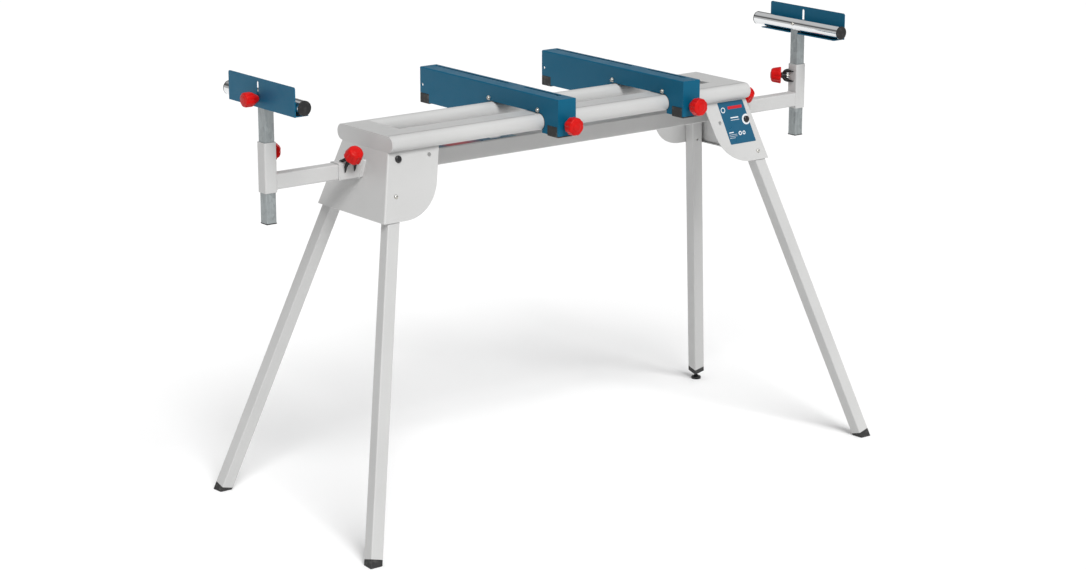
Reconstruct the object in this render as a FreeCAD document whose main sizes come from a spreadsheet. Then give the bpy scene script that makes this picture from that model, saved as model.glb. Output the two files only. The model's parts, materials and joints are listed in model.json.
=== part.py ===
import FreeCAD, Part
import math
import os
import Sketcher

# Folding machine stand: two rails and a guide tube between sheet-metal end housings, four splayed
# folding legs, two sliding machine brackets and two extendable workpiece supports.
# Frame: +X along the rails, -Y the operator's side, +Z up. Origin on the floor, in the middle.
# Suffixes: left is -X, right is +X, front is -Y, rear is +Y.

doc = FreeCAD.newDocument("machine_stand")
V = FreeCAD.Vector
UP, ALONG, ACROSS = V(0, 0, 1), V(1, 0, 0), V(0, 1, 0)

# ---------------------------------------------------------------- driving dimensions (mm, degrees)

DIMENSIONS = {
    "rail_radius": 18, "rail_wall": 2, "rail_y": 88.5, "rail_z": 846,
    "sheet": 2.5, "end_x": 514, "cover_inner_x": 447, "band_rear_y": 36,
    "housing_top_z": 827.8, "housing_bottom_z": 684, "housing_top_y": 89.9,
    "lean": 15.9, "cheek_width": 133.5, "cheek_corner": 100, "lip_depth": 7,
    "guide_end_x": 593, "guide_tall": 38, "guide_deep": 33, "guide_z": 783.5, "tube_wall": 2,
    "arm_tall": 33.4, "arm_deep": 28.4, "arm_inner_x": 40,
    "post_x": 762, "sleeve_size": 30, "sleeve_bottom_z": 761, "sleeve_top_z": 870,
    "post_size": 25.4, "post_bottom_z": 695, "plug_thick": 2.5,
    "bar_radius": 16, "bar_z": 965, "bar_y": -4, "bar_half": 146, "bar_wall": 1.5, "cap_thick": 3,
    "stop_x": 778.6, "stop_thick": 2.2, "stop_y": -14, "stop_half": 130,
    "stop_bottom_z": 946, "stop_top_z": 1009, "stop_flange": 34,
    "stop_slot_bottom_z": 961, "stop_slot_top_z": 1002, "stop_slot_wide": 8.4,
    "bracket_wide": 50, "bracket_front_y": -157, "bracket_rear_y": 373, "bracket_top_z": 905,
    "bracket_mid_z": 865, "bracket_low_z": 822, "bracket_sheet": 2.5, "saddle_radius": 20,
    "hook_reach": 10.5, "rear_rise": 0.5,
    "slot_wide": 7, "slot_shift_x": 12, "bracket_left_x": -79, "bracket_right_x": 285,
    "foot_tall": 24, "foot_drop": 3.2,
    "leg_size": 30, "leg_wall": 2, "tube_corner": 3, "splay": 15,
    "pivot_x_left": 491.5, "pivot_z_left": 812.5, "pivot_x_right": 503.7, "pivot_z_right": 779.5,
    "leg_gap": 0.5, "pivot_radius": 5, "lock_reach": 82, "button_radius": 4.5, "fit_gap": 0.05,
    "cap_rise": 13, "level_rise": 38, "level_block": 14, "level_disc": 6, "level_radius": 12.5,
    "clamp_out_x": 565, "post_clamp_z": 840, "stud_radius": 4,
}
sheet = doc.addObject("Spreadsheet::Sheet", "dims")
for row, (alias, value) in enumerate(DIMENSIONS.items(), start=1):
    sheet.set(f"A{row}", alias)
    sheet.set(f"B{row}", str(value))
    sheet.setAlias(f"B{row}", alias)
doc.recompute()


def size(alias):
    """The number in the sheet behind an alias, for sums made in this script."""
    return float(getattr(sheet, alias))


nodes = []          # the sub-parts, in the order they are finished


def finish(obj, label):
    """Name a finished sub-part and put it on the list that is written out."""
    obj.Label = label
    nodes.append(obj)
    return obj


def bind(obj, **expressions):
    """Bind properties to sheet expressions; a double underscore stands for a dot."""
    for prop, expression in expressions.items():
        text = str(expression)
        for alias in sorted(DIMENSIONS, key=len, reverse=True):
            text = text.replace("{" + alias + "}", "dims." + alias)
        obj.setExpression(prop.replace("__", "."), text)
    return obj


# ---------------------------------------------------------------- plain shapes and booleans

def block(name, sizes, corner):
    """A box from its three sizes and its lowest corner, each a sheet expression."""
    obj = doc.addObject("Part::Box", name)
    bind(obj, Length=sizes[0], Width=sizes[1], Height=sizes[2])
    return bind(obj, Placement__Base__x=corner[0], Placement__Base__y=corner[1],
                Placement__Base__z=corner[2])


def rod(name, radius, length, start=V(0, 0, 0), axis=UP):
    """A cylinder bound to the sheet in its radius and length."""
    obj = doc.addObject("Part::Cylinder", name)
    bind(obj, Radius=radius, Height=length)
    obj.Placement = FreeCAD.Placement(start, FreeCAD.Rotation(UP, axis))
    return obj


def cone(name, radius_1, radius_2, length, start=V(0, 0, 0)):
    obj = doc.addObject("Part::Cone", name)
    bind(obj, Radius1=radius_1, Radius2=radius_2, Height=length)
    obj.Placement = FreeCAD.Placement(start, FreeCAD.Rotation())
    return obj


def fuse(name, shapes):
    obj = doc.addObject("Part::MultiFuse", name)
    obj.Shapes = shapes
    obj.Refine = True
    return obj


def cut(name, base, tools):
    """Base less one tool or several."""
    obj = doc.addObject("Part::Cut", name)
    obj.Base = base
    obj.Tool = tools[0] if len(tools) == 1 else fuse(name + "_tools", tools)
    return obj


def common(name, first, second):
    obj = doc.addObject("Part::Common", name)
    obj.Base = first
    obj.Tool = second
    return obj


def together(name, shapes):
    """Several solids kept apart in one sub-part."""
    obj = doc.addObject("Part::Compound", name)
    obj.Links = shapes
    return obj


def round_edges(name, base, radius, chosen):
    """A fillet on the edges that the test picks out."""
    doc.recompute()
    obj = doc.addObject("Part::Fillet", name)
    obj.Base = base
    obj.Edges = [(i, radius, radius) for i, edge in enumerate(base.Shape.Edges, start=1) if chosen(edge)]
    return obj


def runs_along(axis):
    """A test for straight edges parallel to an axis."""
    def chosen(edge):
        if edge.Curve.TypeId != "Part::GeomLine":
            return False
        return abs(abs(edge.Curve.Direction.dot(axis)) - 1) < 1e-6
    return chosen


# ---------------------------------------------------------------- sketched bodies

def plane_of(body, role):
    return next(p for p in body.Origin.OriginFeatures if p.Role == role)


def new_sketch(body, role):
    sketch = body.newObject("Sketcher::SketchObject", body.Name + "_sketch")
    sketch.AttachmentSupport = (plane_of(body, role), "")
    sketch.MapMode = "FlatFace"
    return sketch


def draw_outline(sketch, corners, tag="p"):
    """A closed outline of straight sides, every corner held by two sheet expressions."""
    count = len(corners)
    first = sketch.GeometryCount
    turn = [2 * math.pi * i / count for i in range(count)]
    ring = [V(100 * math.cos(a), 100 * math.sin(a), 0) for a in turn]
    for i in range(count):
        sketch.addGeometry(Part.LineSegment(ring[i], ring[(i + 1) % count]))
    for i in range(count):
        sketch.addConstraint(Sketcher.Constraint("Coincident", first + i, 2, first + (i + 1) % count, 1))
    for i, (across, upward) in enumerate(corners):
        for kind, value, text in (("DistanceX", ring[i].x, across), ("DistanceY", ring[i].y, upward)):
            index = sketch.addConstraint(Sketcher.Constraint(kind, -1, 1, first + i, 1, value + 0.5))
            sketch.renameConstraint(index, f"{tag}{kind[-1]}{i}")
            bind(sketch, **{f"Constraints__{tag}{kind[-1]}{i}": text})


def draw_circle(sketch, across, upward, radius, tag):
    """A circle with its centre and radius held by the sheet."""
    index = sketch.addGeometry(Part.Circle(V(10, 10, 0), UP, 5))
    for name, constraint, text in (
            ("X", Sketcher.Constraint("DistanceX", -1, 1, index, 3, 10.5), across),
            ("Y", Sketcher.Constraint("DistanceY", -1, 1, index, 3, 10.5), upward),
            ("R", Sketcher.Constraint("Radius", index, 5.5), radius)):
        sketch.renameConstraint(sketch.addConstraint(constraint), tag + name)
        bind(sketch, **{f"Constraints__{tag}{name}": text})


def body_pad(name, role, corners, length, midplane=True):
    """A body whose first feature is the pad of an outline."""
    body = doc.addObject("PartDesign::Body", name)
    sketch = new_sketch(body, role)
    draw_outline(sketch, corners)
    pad = body.newObject("PartDesign::Pad", name + "_pad")
    pad.Profile = sketch
    pad.Midplane = midplane
    bind(pad, Length=length)
    doc.recompute()
    return body


def body_fillet(body, radius, chosen):
    """Round the body's edges that the test picks out."""
    edges = [f"Edge{i}" for i, edge in enumerate(body.Shape.Edges, start=1) if chosen(edge)]
    feature = body.newObject("PartDesign::Fillet", body.Name + "_fillet")
    feature.Base = (body.Tip if body.Tip is not feature else feature.BaseFeature, edges)
    bind(feature, Radius=radius)
    body.Tip = feature
    doc.recompute()
    return body


def body_tube(name, role, wide, tall, wall, length, midplane=True):
    """A rectangular tube with rounded corners about its body's axis."""
    half_w, half_t = f"({wide}) / 2", f"({tall}) / 2"
    corners = [(half_w, half_t), (f"-{half_w}", half_t), (f"-{half_w}", f"-{half_t}"),
               (half_w, f"-{half_t}")]
    body = body_pad(name, role, corners, length, midplane)
    axis = {"XY_Plane": UP, "YZ_Plane": ALONG, "XZ_Plane": ACROSS}[role]
    body_fillet(body, "{tube_corner}", runs_along(axis))
    if wall:
        solid_volume = body.Shape.Volume
        sketch = new_sketch(body, role)
        inner = [(f"{x} {'+' if x[0] == '-' else '-'} {wall}", f"{y} {'+' if y[0] == '-' else '-'} {wall}")
                 for x, y in corners]
        draw_outline(sketch, inner)
        pocket = body.newObject("PartDesign::Pocket", name + "_bore")
        pocket.Profile = sketch
        pocket.Type = 1
        pocket.Midplane = midplane
        pocket.Reversed = not midplane
        body.Tip = pocket
        doc.recompute()
        if body.Shape.Volume > 0.6 * solid_volume:
            raise RuntimeError(name + " was not bored through")
    return body


def place(obj, base, rotation=FreeCAD.Rotation()):
    obj.Placement = FreeCAD.Placement(base, rotation)
    return obj


SIDES = (("left", -1), ("right", 1))
DEPTHS = (("front", -1), ("rear", 1))

# ---------------------------------------------------------------- rails, top plate, guide tube

for depth, face in DEPTHS:
    rail = doc.addObject("PartDesign::Body", "rail_" + depth)
    sketch = new_sketch(rail, "YZ_Plane")
    for tag, radius in (("o", "{rail_radius}"), ("i", "{rail_radius} - {rail_wall}")):
        draw_circle(sketch, f"{face} * {{rail_y}}", "{rail_z}", radius, tag)
    pad = rail.newObject("PartDesign::Pad", f"rail_{depth}_pad")
    pad.Profile = sketch
    pad.Midplane = True
    bind(pad, Length="2 * ({end_x} - {sheet})")
    finish(rail, "rail_" + depth)

# The top plate bridges the rails at both ends and runs as a band behind the front rail.
plate_thick, plate_drop = 2.0, 0.2
plate_z = f"{{rail_z}} + {{rail_radius}} - {plate_drop + plate_thick}"
whole_plate = block("whole_plate", ("2 * ({end_x} - {sheet})", "2 * {rail_y}", plate_thick),
                    ("{sheet} - {end_x}", "-{rail_y}", plate_z))
window = block("window", ("2 * {cover_inner_x}", "{rail_y} + {band_rear_y} + 1", plate_thick + 2),
               ("-{cover_inner_x}", "-{band_rear_y}", f"{plate_z} - 1"))
band_lip = block("band_lip", ("2 * {cover_inner_x}", plate_thick, "12"),
                 ("-{cover_inner_x}", f"-{{band_rear_y}} - {plate_thick}",
                  "{rail_z} + {rail_radius} - 14"))
rail_room = [rod(f"rail_room_{depth}", "{rail_radius} + 0.3", "2 * {end_x}",
                 V(-size("end_x"), face * size("rail_y"), size("rail_z")), ALONG)
             for depth, face in DEPTHS]
plate_cut = cut("plate_cut", whole_plate, [window] + rail_room)
finish(fuse("top_plate", [plate_cut, band_lip]), "top_plate")

# The guide tube carries both arms; its corner holes take the clamp screws, its slits the clips.
CLAMP_SLIT = 12.25      # from the clamp screw to each slit


def clamp_screw_hole(name, corner, axis):
    return rod(name, "{stud_radius} + 0.3", "20", corner - axis * 10, axis)


guide = body_tube("guide_body", "YZ_Plane", "{guide_deep}", "{guide_tall}", "{tube_wall}",
                  "2 * {guide_end_x}")
place(guide, V(0, 0, size("guide_z")))
arm_clamp_axis = V(0, -1, 1).normalize()
post_clamp_axis = {-1: V(1, 1, 0).normalize(), 1: V(-1, 1, 0).normalize()}
guide_tools = []
for side, end in SIDES:
    corner = V(end * size("clamp_out_x"), -size("guide_deep") / 2, size("guide_z") + size("guide_tall") / 2)
    guide_tools.append(clamp_screw_hole(f"arm_screw_hole_{side}", corner, arm_clamp_axis))
    for slit in (-1, 1):
        x = f"{end} * {{clamp_out_x}} + {slit * CLAMP_SLIT} - 1.5"
        guide_tools.append(block(f"guide_slit_{side}", ("3", "4", "8"),
                                 (x, "-{guide_deep} / 2 - 1", "{guide_z} - 3")))
finish(cut("guide_tube", guide, guide_tools), "guide_tube")

# ---------------------------------------------------------------- end housings

slope = math.tan(math.radians(size("lean")))
housing_drop = size("housing_top_z") - size("housing_bottom_z")


def leaning_block(name, end, inset):
    """The room between two cheeks: a block that widens downwards by the lean on three sides."""
    wedge = doc.addObject("Part::Wedge", name)
    spread = "({housing_top_z} - {housing_bottom_z}) * tan({lean} * 1 deg)"
    below = 1 if inset else 0
    far_top, far_bottom = "{end_x} - %s" % inset, "{end_x} + %s - %s" % (spread, inset)
    near_top = "{end_x} - {cheek_width} - %s" % (60 if inset else 0)
    near_bottom = near_top + " + " + ("0" if inset else spread)
    half_top = "{housing_top_y} - %s" % inset
    bind(wedge, Ymin=f"{{housing_bottom_z}} - {below}", Ymax=f"{{housing_top_z}} + {below}",
         Zmin=f"-({half_top} + {spread} * {1 + below / housing_drop})",
         Zmax=f"{half_top} + {spread} * {1 + below / housing_drop}",
         Z2min=f"-({half_top} - {spread} * {below / housing_drop})",
         Z2max=f"{half_top} - {spread} * {below / housing_drop}")
    if end > 0:
        bind(wedge, Xmin=near_bottom, Xmax=far_bottom, X2min=near_top, X2max=far_top)
    else:
        bind(wedge, Xmin=f"-({far_bottom})", Xmax=f"-({near_bottom})", X2min=f"-({far_top})",
             X2max=f"-({near_top})")
    wedge.Placement = FreeCAD.Placement(V(0, 0, 0), FreeCAD.Rotation(ALONG, 90))
    return wedge


def outer_upright(end):
    """A test for the two leaning edges between an end plate and its cheeks."""
    def chosen(edge):
        low, high = sorted((v.Point for v in edge.Vertexes), key=lambda p: p.z)
        return high.z - low.z > 100 and end * low.x > size("end_x")
    return chosen


def cheek_frame(end, face, which):
    """Where a leg's hinge line leaves its cheek, and the cheek's outward, upward and leg directions."""
    lean, splay = math.radians(size("lean")), math.radians(size("splay"))
    pivot_z = size("pivot_z_" + which)
    y = size("housing_top_y") + (size("housing_top_z") - pivot_z) * slope
    point = V(end * size("pivot_x_" + which), face * y, pivot_z)
    outward = V(0, face * math.cos(lean), math.sin(lean))
    upward = V(0, -face * math.sin(lean), math.cos(lean))
    leg_up = upward * math.cos(splay) - ALONG * end * math.sin(splay)
    return point, outward, leg_up


def cheek_hole(name, radius, point, outward):
    return rod(name, radius, "16", point - outward * 8, outward)


for side, end in SIDES:
    outer = round_edges(f"housing_outer_{side}", leaning_block(f"outer_{side}", end, 0), 4,
                        outer_upright(end))
    inner = round_edges(f"housing_inner_{side}", leaning_block(f"inner_{side}", end, "{sheet}"), 1.5,
                        outer_upright(end))
    shell = cut(f"housing_shell_{side}", outer, [inner])
    spread = "({housing_top_z} - {housing_bottom_z}) * tan({lean} * 1 deg)"
    near = "{end_x} - {cheek_width}"
    outline = [(f"{end} * ({near})", "{housing_top_z}"),
               (f"{end} * ({near} + {spread})", "{housing_bottom_z}"),
               (f"{end} * ({{end_x}} + 60)", "{housing_bottom_z}"),
               (f"{end} * ({{end_x}} + 60)", "{housing_top_z}")]
    cheeks = body_pad(f"cheek_outline_{side}", "XZ_Plane", outline, "300")
    body_fillet(cheeks, "{cheek_corner}", lambda edge: runs_along(ACROSS)(edge)
                and abs(edge.Vertexes[0].Point.z - size("housing_bottom_z")) < 1
                and abs(edge.Vertexes[0].Point.x) < size("end_x"))
    folded = common(f"housing_folded_{side}", shell, cheeks)
    face_x = "{end_x} - {sheet}" if end > 0 else "-{end_x}"
    cap_parts = [block(f"end_cap_{side}", ("{sheet}", "2 * {rail_y}", "2 * {rail_radius}"),
                       (face_x, "-{rail_y}", "{rail_z} - {rail_radius}"))]
    start_x = size("end_x") - size("sheet") if end > 0 else -size("end_x")
    for depth, face in DEPTHS:
        cap_parts.append(rod(f"end_lobe_{side}_{depth}", "{rail_radius}", "{sheet}",
                             V(start_x, face * size("rail_y"), size("rail_z")), ALONG))
    # The end plate runs up into the cap through a short straight neck.
    neck = block(f"end_neck_{side}", ("{sheet}", "2 * ({housing_top_y} - 4)", "3"),
                 (face_x, "4 - {housing_top_y}", "{housing_top_z} - 0.5"))
    lip_x = f"{end} * ({{end_x}} + {spread}) - {'{lip_depth}' if end > 0 else '0'}"
    lip_in = 1.2 if end > 0 else -1.2
    lip = block(f"lip_{side}", ("{lip_depth}", f"2 * ({{housing_top_y}} + {spread} - 5)", "{sheet}"),
                (f"{lip_x} - {lip_in}", f"-({{housing_top_y}} + {spread} - 5)", "{housing_bottom_z}"))
    solid = fuse(f"housing_solid_{side}", [folded, neck, lip] + cap_parts)
    tools = [block(f"guide_room_{side}", ("60", "{guide_deep} + 0.1", "{guide_tall} + 0.1"),
                   (f"{end} * {{end_x}} - 30", "-{guide_deep} / 2 - 0.05",
                    "{guide_z} - {guide_tall} / 2 - 0.05"))]
    for depth, face in DEPTHS:
        point, outward, leg_up = cheek_frame(end, face, side)
        reach = size("lock_reach")
        tools += [cheek_hole(f"pivot_hole_{side}_{depth}", "{pivot_radius} + {fit_gap}", point, outward),
                  cheek_hole(f"lock_hole_{side}_{depth}", "{button_radius} + 0.4",
                             point - leg_up * reach, outward),
                  cheek_hole(f"fold_hole_{side}_{depth}", "{button_radius} + 0.4",
                             point - ALONG * end * reach, outward)]
    finish(cut(f"housing_{side}", solid, tools), f"housing_{side}")

# ---------------------------------------------------------------- legs

leg_half = size("leg_size") / 2
cheek_to_leg = size("sheet") + size("leg_gap")          # cheek's outer face to the leg's outer face
leg_axis_depth = cheek_to_leg + leg_half                # cheek's outer face to the leg's middle


def leg_frame(end, face):
    """The leg's placement: its own Z runs up the leg, its Y points out through the cheek."""
    which = "left" if end < 0 else "right"
    point, outward, leg_up = cheek_frame(end, face, which)
    middle = point - outward * leg_axis_depth
    rotation = FreeCAD.Rotation(outward.cross(leg_up), outward, leg_up, "ZYX")
    return FreeCAD.Placement(middle, rotation), middle.z / leg_up.z


def v_spring(name, low, high):
    """A leaf bent to a narrow V inside the leg; it pushes the snap button outwards."""
    thick, half_width = 0.8, 4.0
    outer_y = leg_half - size("leg_wall") - 1.65
    inner_y = -leg_half + size("leg_wall") + 0.3
    corners = [V(-half_width, outer_y, high), V(-half_width, outer_y - thick, high),
               V(-half_width, inner_y + 2 * thick, low + thick), V(-half_width, inner_y + thick, high),
               V(-half_width, inner_y, high), V(-half_width, inner_y, low),
               V(-half_width, inner_y + 2 * thick, low)]
    spring = doc.addObject("Part::Feature", name)
    spring.Shape = Part.Face(Part.makePolygon(corners + corners[:1])).extrude(V(2 * half_width, 0, 0))
    return spring


floor_room = block("floor_room", ("2400", "1200", "200"), ("-1200", "-600", "-200"))
bolts = []
for side, end in SIDES:
    for depth, face in DEPTHS:
        tag = f"{side}_{depth}"
        frame, drop = leg_frame(end, face)
        levelled = (side, depth) == ("right", "rear")
        rise = size("level_rise") if levelled else size("cap_rise")
        tube_end = -(drop - rise)
        tube = body_tube(f"leg_tube_{tag}", "XY_Plane", "{leg_size}", "{leg_size}", "{leg_wall}",
                         f"{leg_half} - ({tube_end})", midplane=False)
        place(tube, V(0, 0, tube_end))
        # The top end is rounded about the hinge, so that it turns clear of the rail.
        square_top = block(f"leg_square_{tag}", ("{leg_size}", "{leg_size}", -tube_end),
                           ("-{leg_size} / 2", "-{leg_size} / 2", tube_end))
        round_top = rod(f"leg_round_{tag}", "{leg_size} / 2", "{leg_size}", V(0, -leg_half, 0), ACROSS)
        envelope = fuse(f"leg_envelope_{tag}", [square_top, round_top])
        shaped = common(f"leg_shaped_{tag}", tube, envelope)
        hinge_hole = rod(f"leg_hinge_hole_{tag}", "{pivot_radius} + {fit_gap}", "2 * {leg_size}",
                         V(0, -2 * leg_half, 0), ACROSS)
        button_hole = rod(f"leg_button_hole_{tag}", "{button_radius} + {fit_gap}", "{leg_size}",
                          V(0, 0, -size("lock_reach")), ACROSS)
        back_hole = rod(f"leg_back_hole_{tag}", "3", "{leg_size}", V(0, 0, -size("lock_reach")), -ACROSS)
        leg = cut(f"leg_{tag}", shaped, [hinge_hole, button_hole, back_hole])
        leg.Placement = frame
        finish(leg, f"leg_{tag}")

        # Foot cap: a wedge between the square-cut tube end and the floor, with a plug inside the tube.
        bottom = "-%s" % (drop - size("level_rise") + size("level_block") if levelled else drop + 12)
        flush = block(f"cap_flush_{tag}", ("{leg_size}", "{leg_size}", f"{tube_end} - ({bottom})"),
                      ("-{leg_size} / 2", "-{leg_size} / 2", bottom))
        inside = "{leg_size} - 2 * {leg_wall} - 0.1"
        plug = block(f"cap_plug_{tag}", (inside, inside, "20"),
                     (f"-({inside}) / 2", f"-({inside}) / 2", tube_end))
        rounded = round_edges(f"cap_round_{tag}", flush, 3, runs_along(UP))
        cap_solid = fuse(f"cap_solid_{tag}", [rounded, plug])
        cap_solid.Placement = frame
        if levelled:
            doc.recompute()
            block_end = frame.multVec(V(0, 0, tube_end - size("level_block")))
            foot_x, foot_y = block_end.x, block_end.y
            socket = rod(f"level_socket_{tag}", "3.05", "46", V(foot_x, foot_y, 0), UP)
            cap = cut(f"cap_{tag}", cap_solid, [socket])
        else:
            cap = cut(f"cap_{tag}", cap_solid, [floor_room])
        finish(cap, f"foot_cap_{tag}")

        # Snap button with its domed tip, standing proud of the cheek.
        button_start = V(0, leg_half - size("leg_wall") - 1.6, -size("lock_reach"))
        stem = rod(f"button_stem_{tag}", "{button_radius}", f"{{leg_wall}} + 1.6 + {cheek_to_leg} + 3",
                   button_start, ACROSS)
        tip = round_edges(f"button_tip_{tag}", stem, 3.2,
                          lambda edge: min(v.Point.y for v in edge.Vertexes) > leg_half)
        flange = rod(f"button_flange_{tag}", "{button_radius} + 2", "1.5", button_start, ACROSS)
        button = fuse(f"button_{tag}", [tip, flange])
        button.Placement = frame
        finish(button, f"snap_button_{tag}")
        spring = v_spring(f"spring_{tag}", -size("lock_reach") - 55, -size("lock_reach") + 5)
        spring.Placement = frame
        finish(spring, f"button_spring_{tag}")

        # Hinge bolt: domed head outside the cheek, shank through the leg, nut on the inner side.
        shank = rod(f"bolt_shank_{tag}", "{pivot_radius}", cheek_to_leg + 2 * leg_half + 9,
                    V(0, -leg_half - 9, 0), ACROSS)
        head = round_edges(f"bolt_head_{tag}", rod(f"bolt_disc_{tag}", "8", "5",
                           V(0, leg_half + cheek_to_leg, 0), ACROSS), 3.5,
                           lambda edge: min(v.Point.y for v in edge.Vertexes) > leg_half + cheek_to_leg + 1)
        nut = doc.addObject("Part::Prism", f"bolt_nut_{tag}")
        nut.Polygon = 6
        nut.Circumradius = 9
        nut.Height = 7
        nut.Placement = FreeCAD.Placement(V(0, -leg_half - 0.5, 0), FreeCAD.Rotation(UP, V(0, -1, 0)))
        bolt = fuse(f"bolt_{tag}", [shank, head, nut])
        bolt.Placement = frame
        bolts.append(bolt)
finish(together("hinge_bolts", bolts), "hinge_bolts")

# Levelling foot: a disc on a short screw, square to the floor.
disc = round_edges("level_disc_round", rod("level_disc_solid", "{level_radius}", "{level_disc}",
                   V(foot_x, foot_y, 0), UP), 1.5, lambda edge: min(v.Point.z for v in edge.Vertexes) > 1)
neck = rod("level_neck", "6", "3", V(foot_x, foot_y, size("level_disc")), UP)
screw = rod("level_screw", "3", "30", V(foot_x, foot_y, size("level_disc")), UP)
finish(fuse("levelling_foot", [disc, neck, screw]), "levelling_foot")

# ---------------------------------------------------------------- knobs and clips

LOBES = 8


def lobed(name, base, radius, length, start):
    """Scallop a knob's side with evenly spaced grips."""
    grooves = []
    for i in range(LOBES):
        angle = 2 * math.pi * (i + 0.5) / LOBES
        at = V((radius + 6.2) * math.cos(angle), (radius + 6.2) * math.sin(angle), start - 1)
        grooves.append(rod(f"{name}_groove", "7.5", length + 2, at))
    return cut(name + "_head", base, grooves)


def clamp_knob(name, base, axis):
    """Tapered knob, wide end towards the tube, on a screw that presses on the inner tube's corner."""
    head = cone(f"{name}_cone", "20.5", "17", "29", V(0, 0, 26))
    collar = rod(f"{name}_collar", "6.5", "6", V(0, 0, 20.5))
    stud = rod(f"{name}_stud", "{stud_radius}", "34", V(0, 0, -4))
    knob = fuse(name, [lobed(name, head, 20.5, 29, 26), collar, stud])
    knob.Placement = FreeCAD.Placement(base, FreeCAD.Rotation(UP, axis))
    return finish(knob, name)


def thrust_knob(name, base, axis, stud_length, radius, neck_length, head_length):
    """Knob with a conical neck towards the plate it clamps and its grip at the outer end."""
    neck = cone(f"{name}_neck", "9", radius, neck_length)
    grip = rod(f"{name}_grip", radius, head_length, V(0, 0, neck_length))
    stud = rod(f"{name}_stud", "{stud_radius}", stud_length + 5, V(0, 0, -stud_length))
    whole = neck_length + head_length
    head = lobed(name, fuse(f"{name}_turned", [neck, grip]), radius, whole, 0)
    knob = fuse(name, [head, stud])
    knob.Placement = FreeCAD.Placement(base, FreeCAD.Rotation(UP, axis))
    return finish(knob, name)


def corner_clip(name, placement):
    """X-shaped clip astride a tube's corner: a boss for the screw and two prongs down each face."""
    boss = rod(f"{name}_boss", "7.5", "19", V(0, 0, 1))
    parts = [boss]
    for face in (-1, 1):
        turn = FreeCAD.Rotation(ALONG, face * 45)
        bridge = doc.addObject("Part::Box", f"{name}_bridge")
        bind(bridge, Length=f"{2 * CLAMP_SLIT + 4}", Width="11", Height="3")
        bridge.Placement = FreeCAD.Placement(
            turn.multVec(V(-CLAMP_SLIT - 2, -9 if face > 0 else -2, 0.05)), turn)
        parts.append(bridge)
        for prong in (-1, 1):
            finger = doc.addObject("Part::Box", f"{name}_prong")
            bind(finger, Length="4", Width="19", Height="3")
            finger.Placement = FreeCAD.Placement(
                turn.multVec(V(prong * CLAMP_SLIT - 2, -19 if face > 0 else 0, 0.05)), turn)
            parts.append(finger)
    hole = rod(f"{name}_hole", "{stud_radius} + {fit_gap}", "40", V(0, 0, -10))
    clip = cut(name, fuse(f"{name}_solid", parts), [hole])
    clip.Placement = placement
    return finish(clip, name)


# ---------------------------------------------------------------- extending arms and supports

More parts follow.
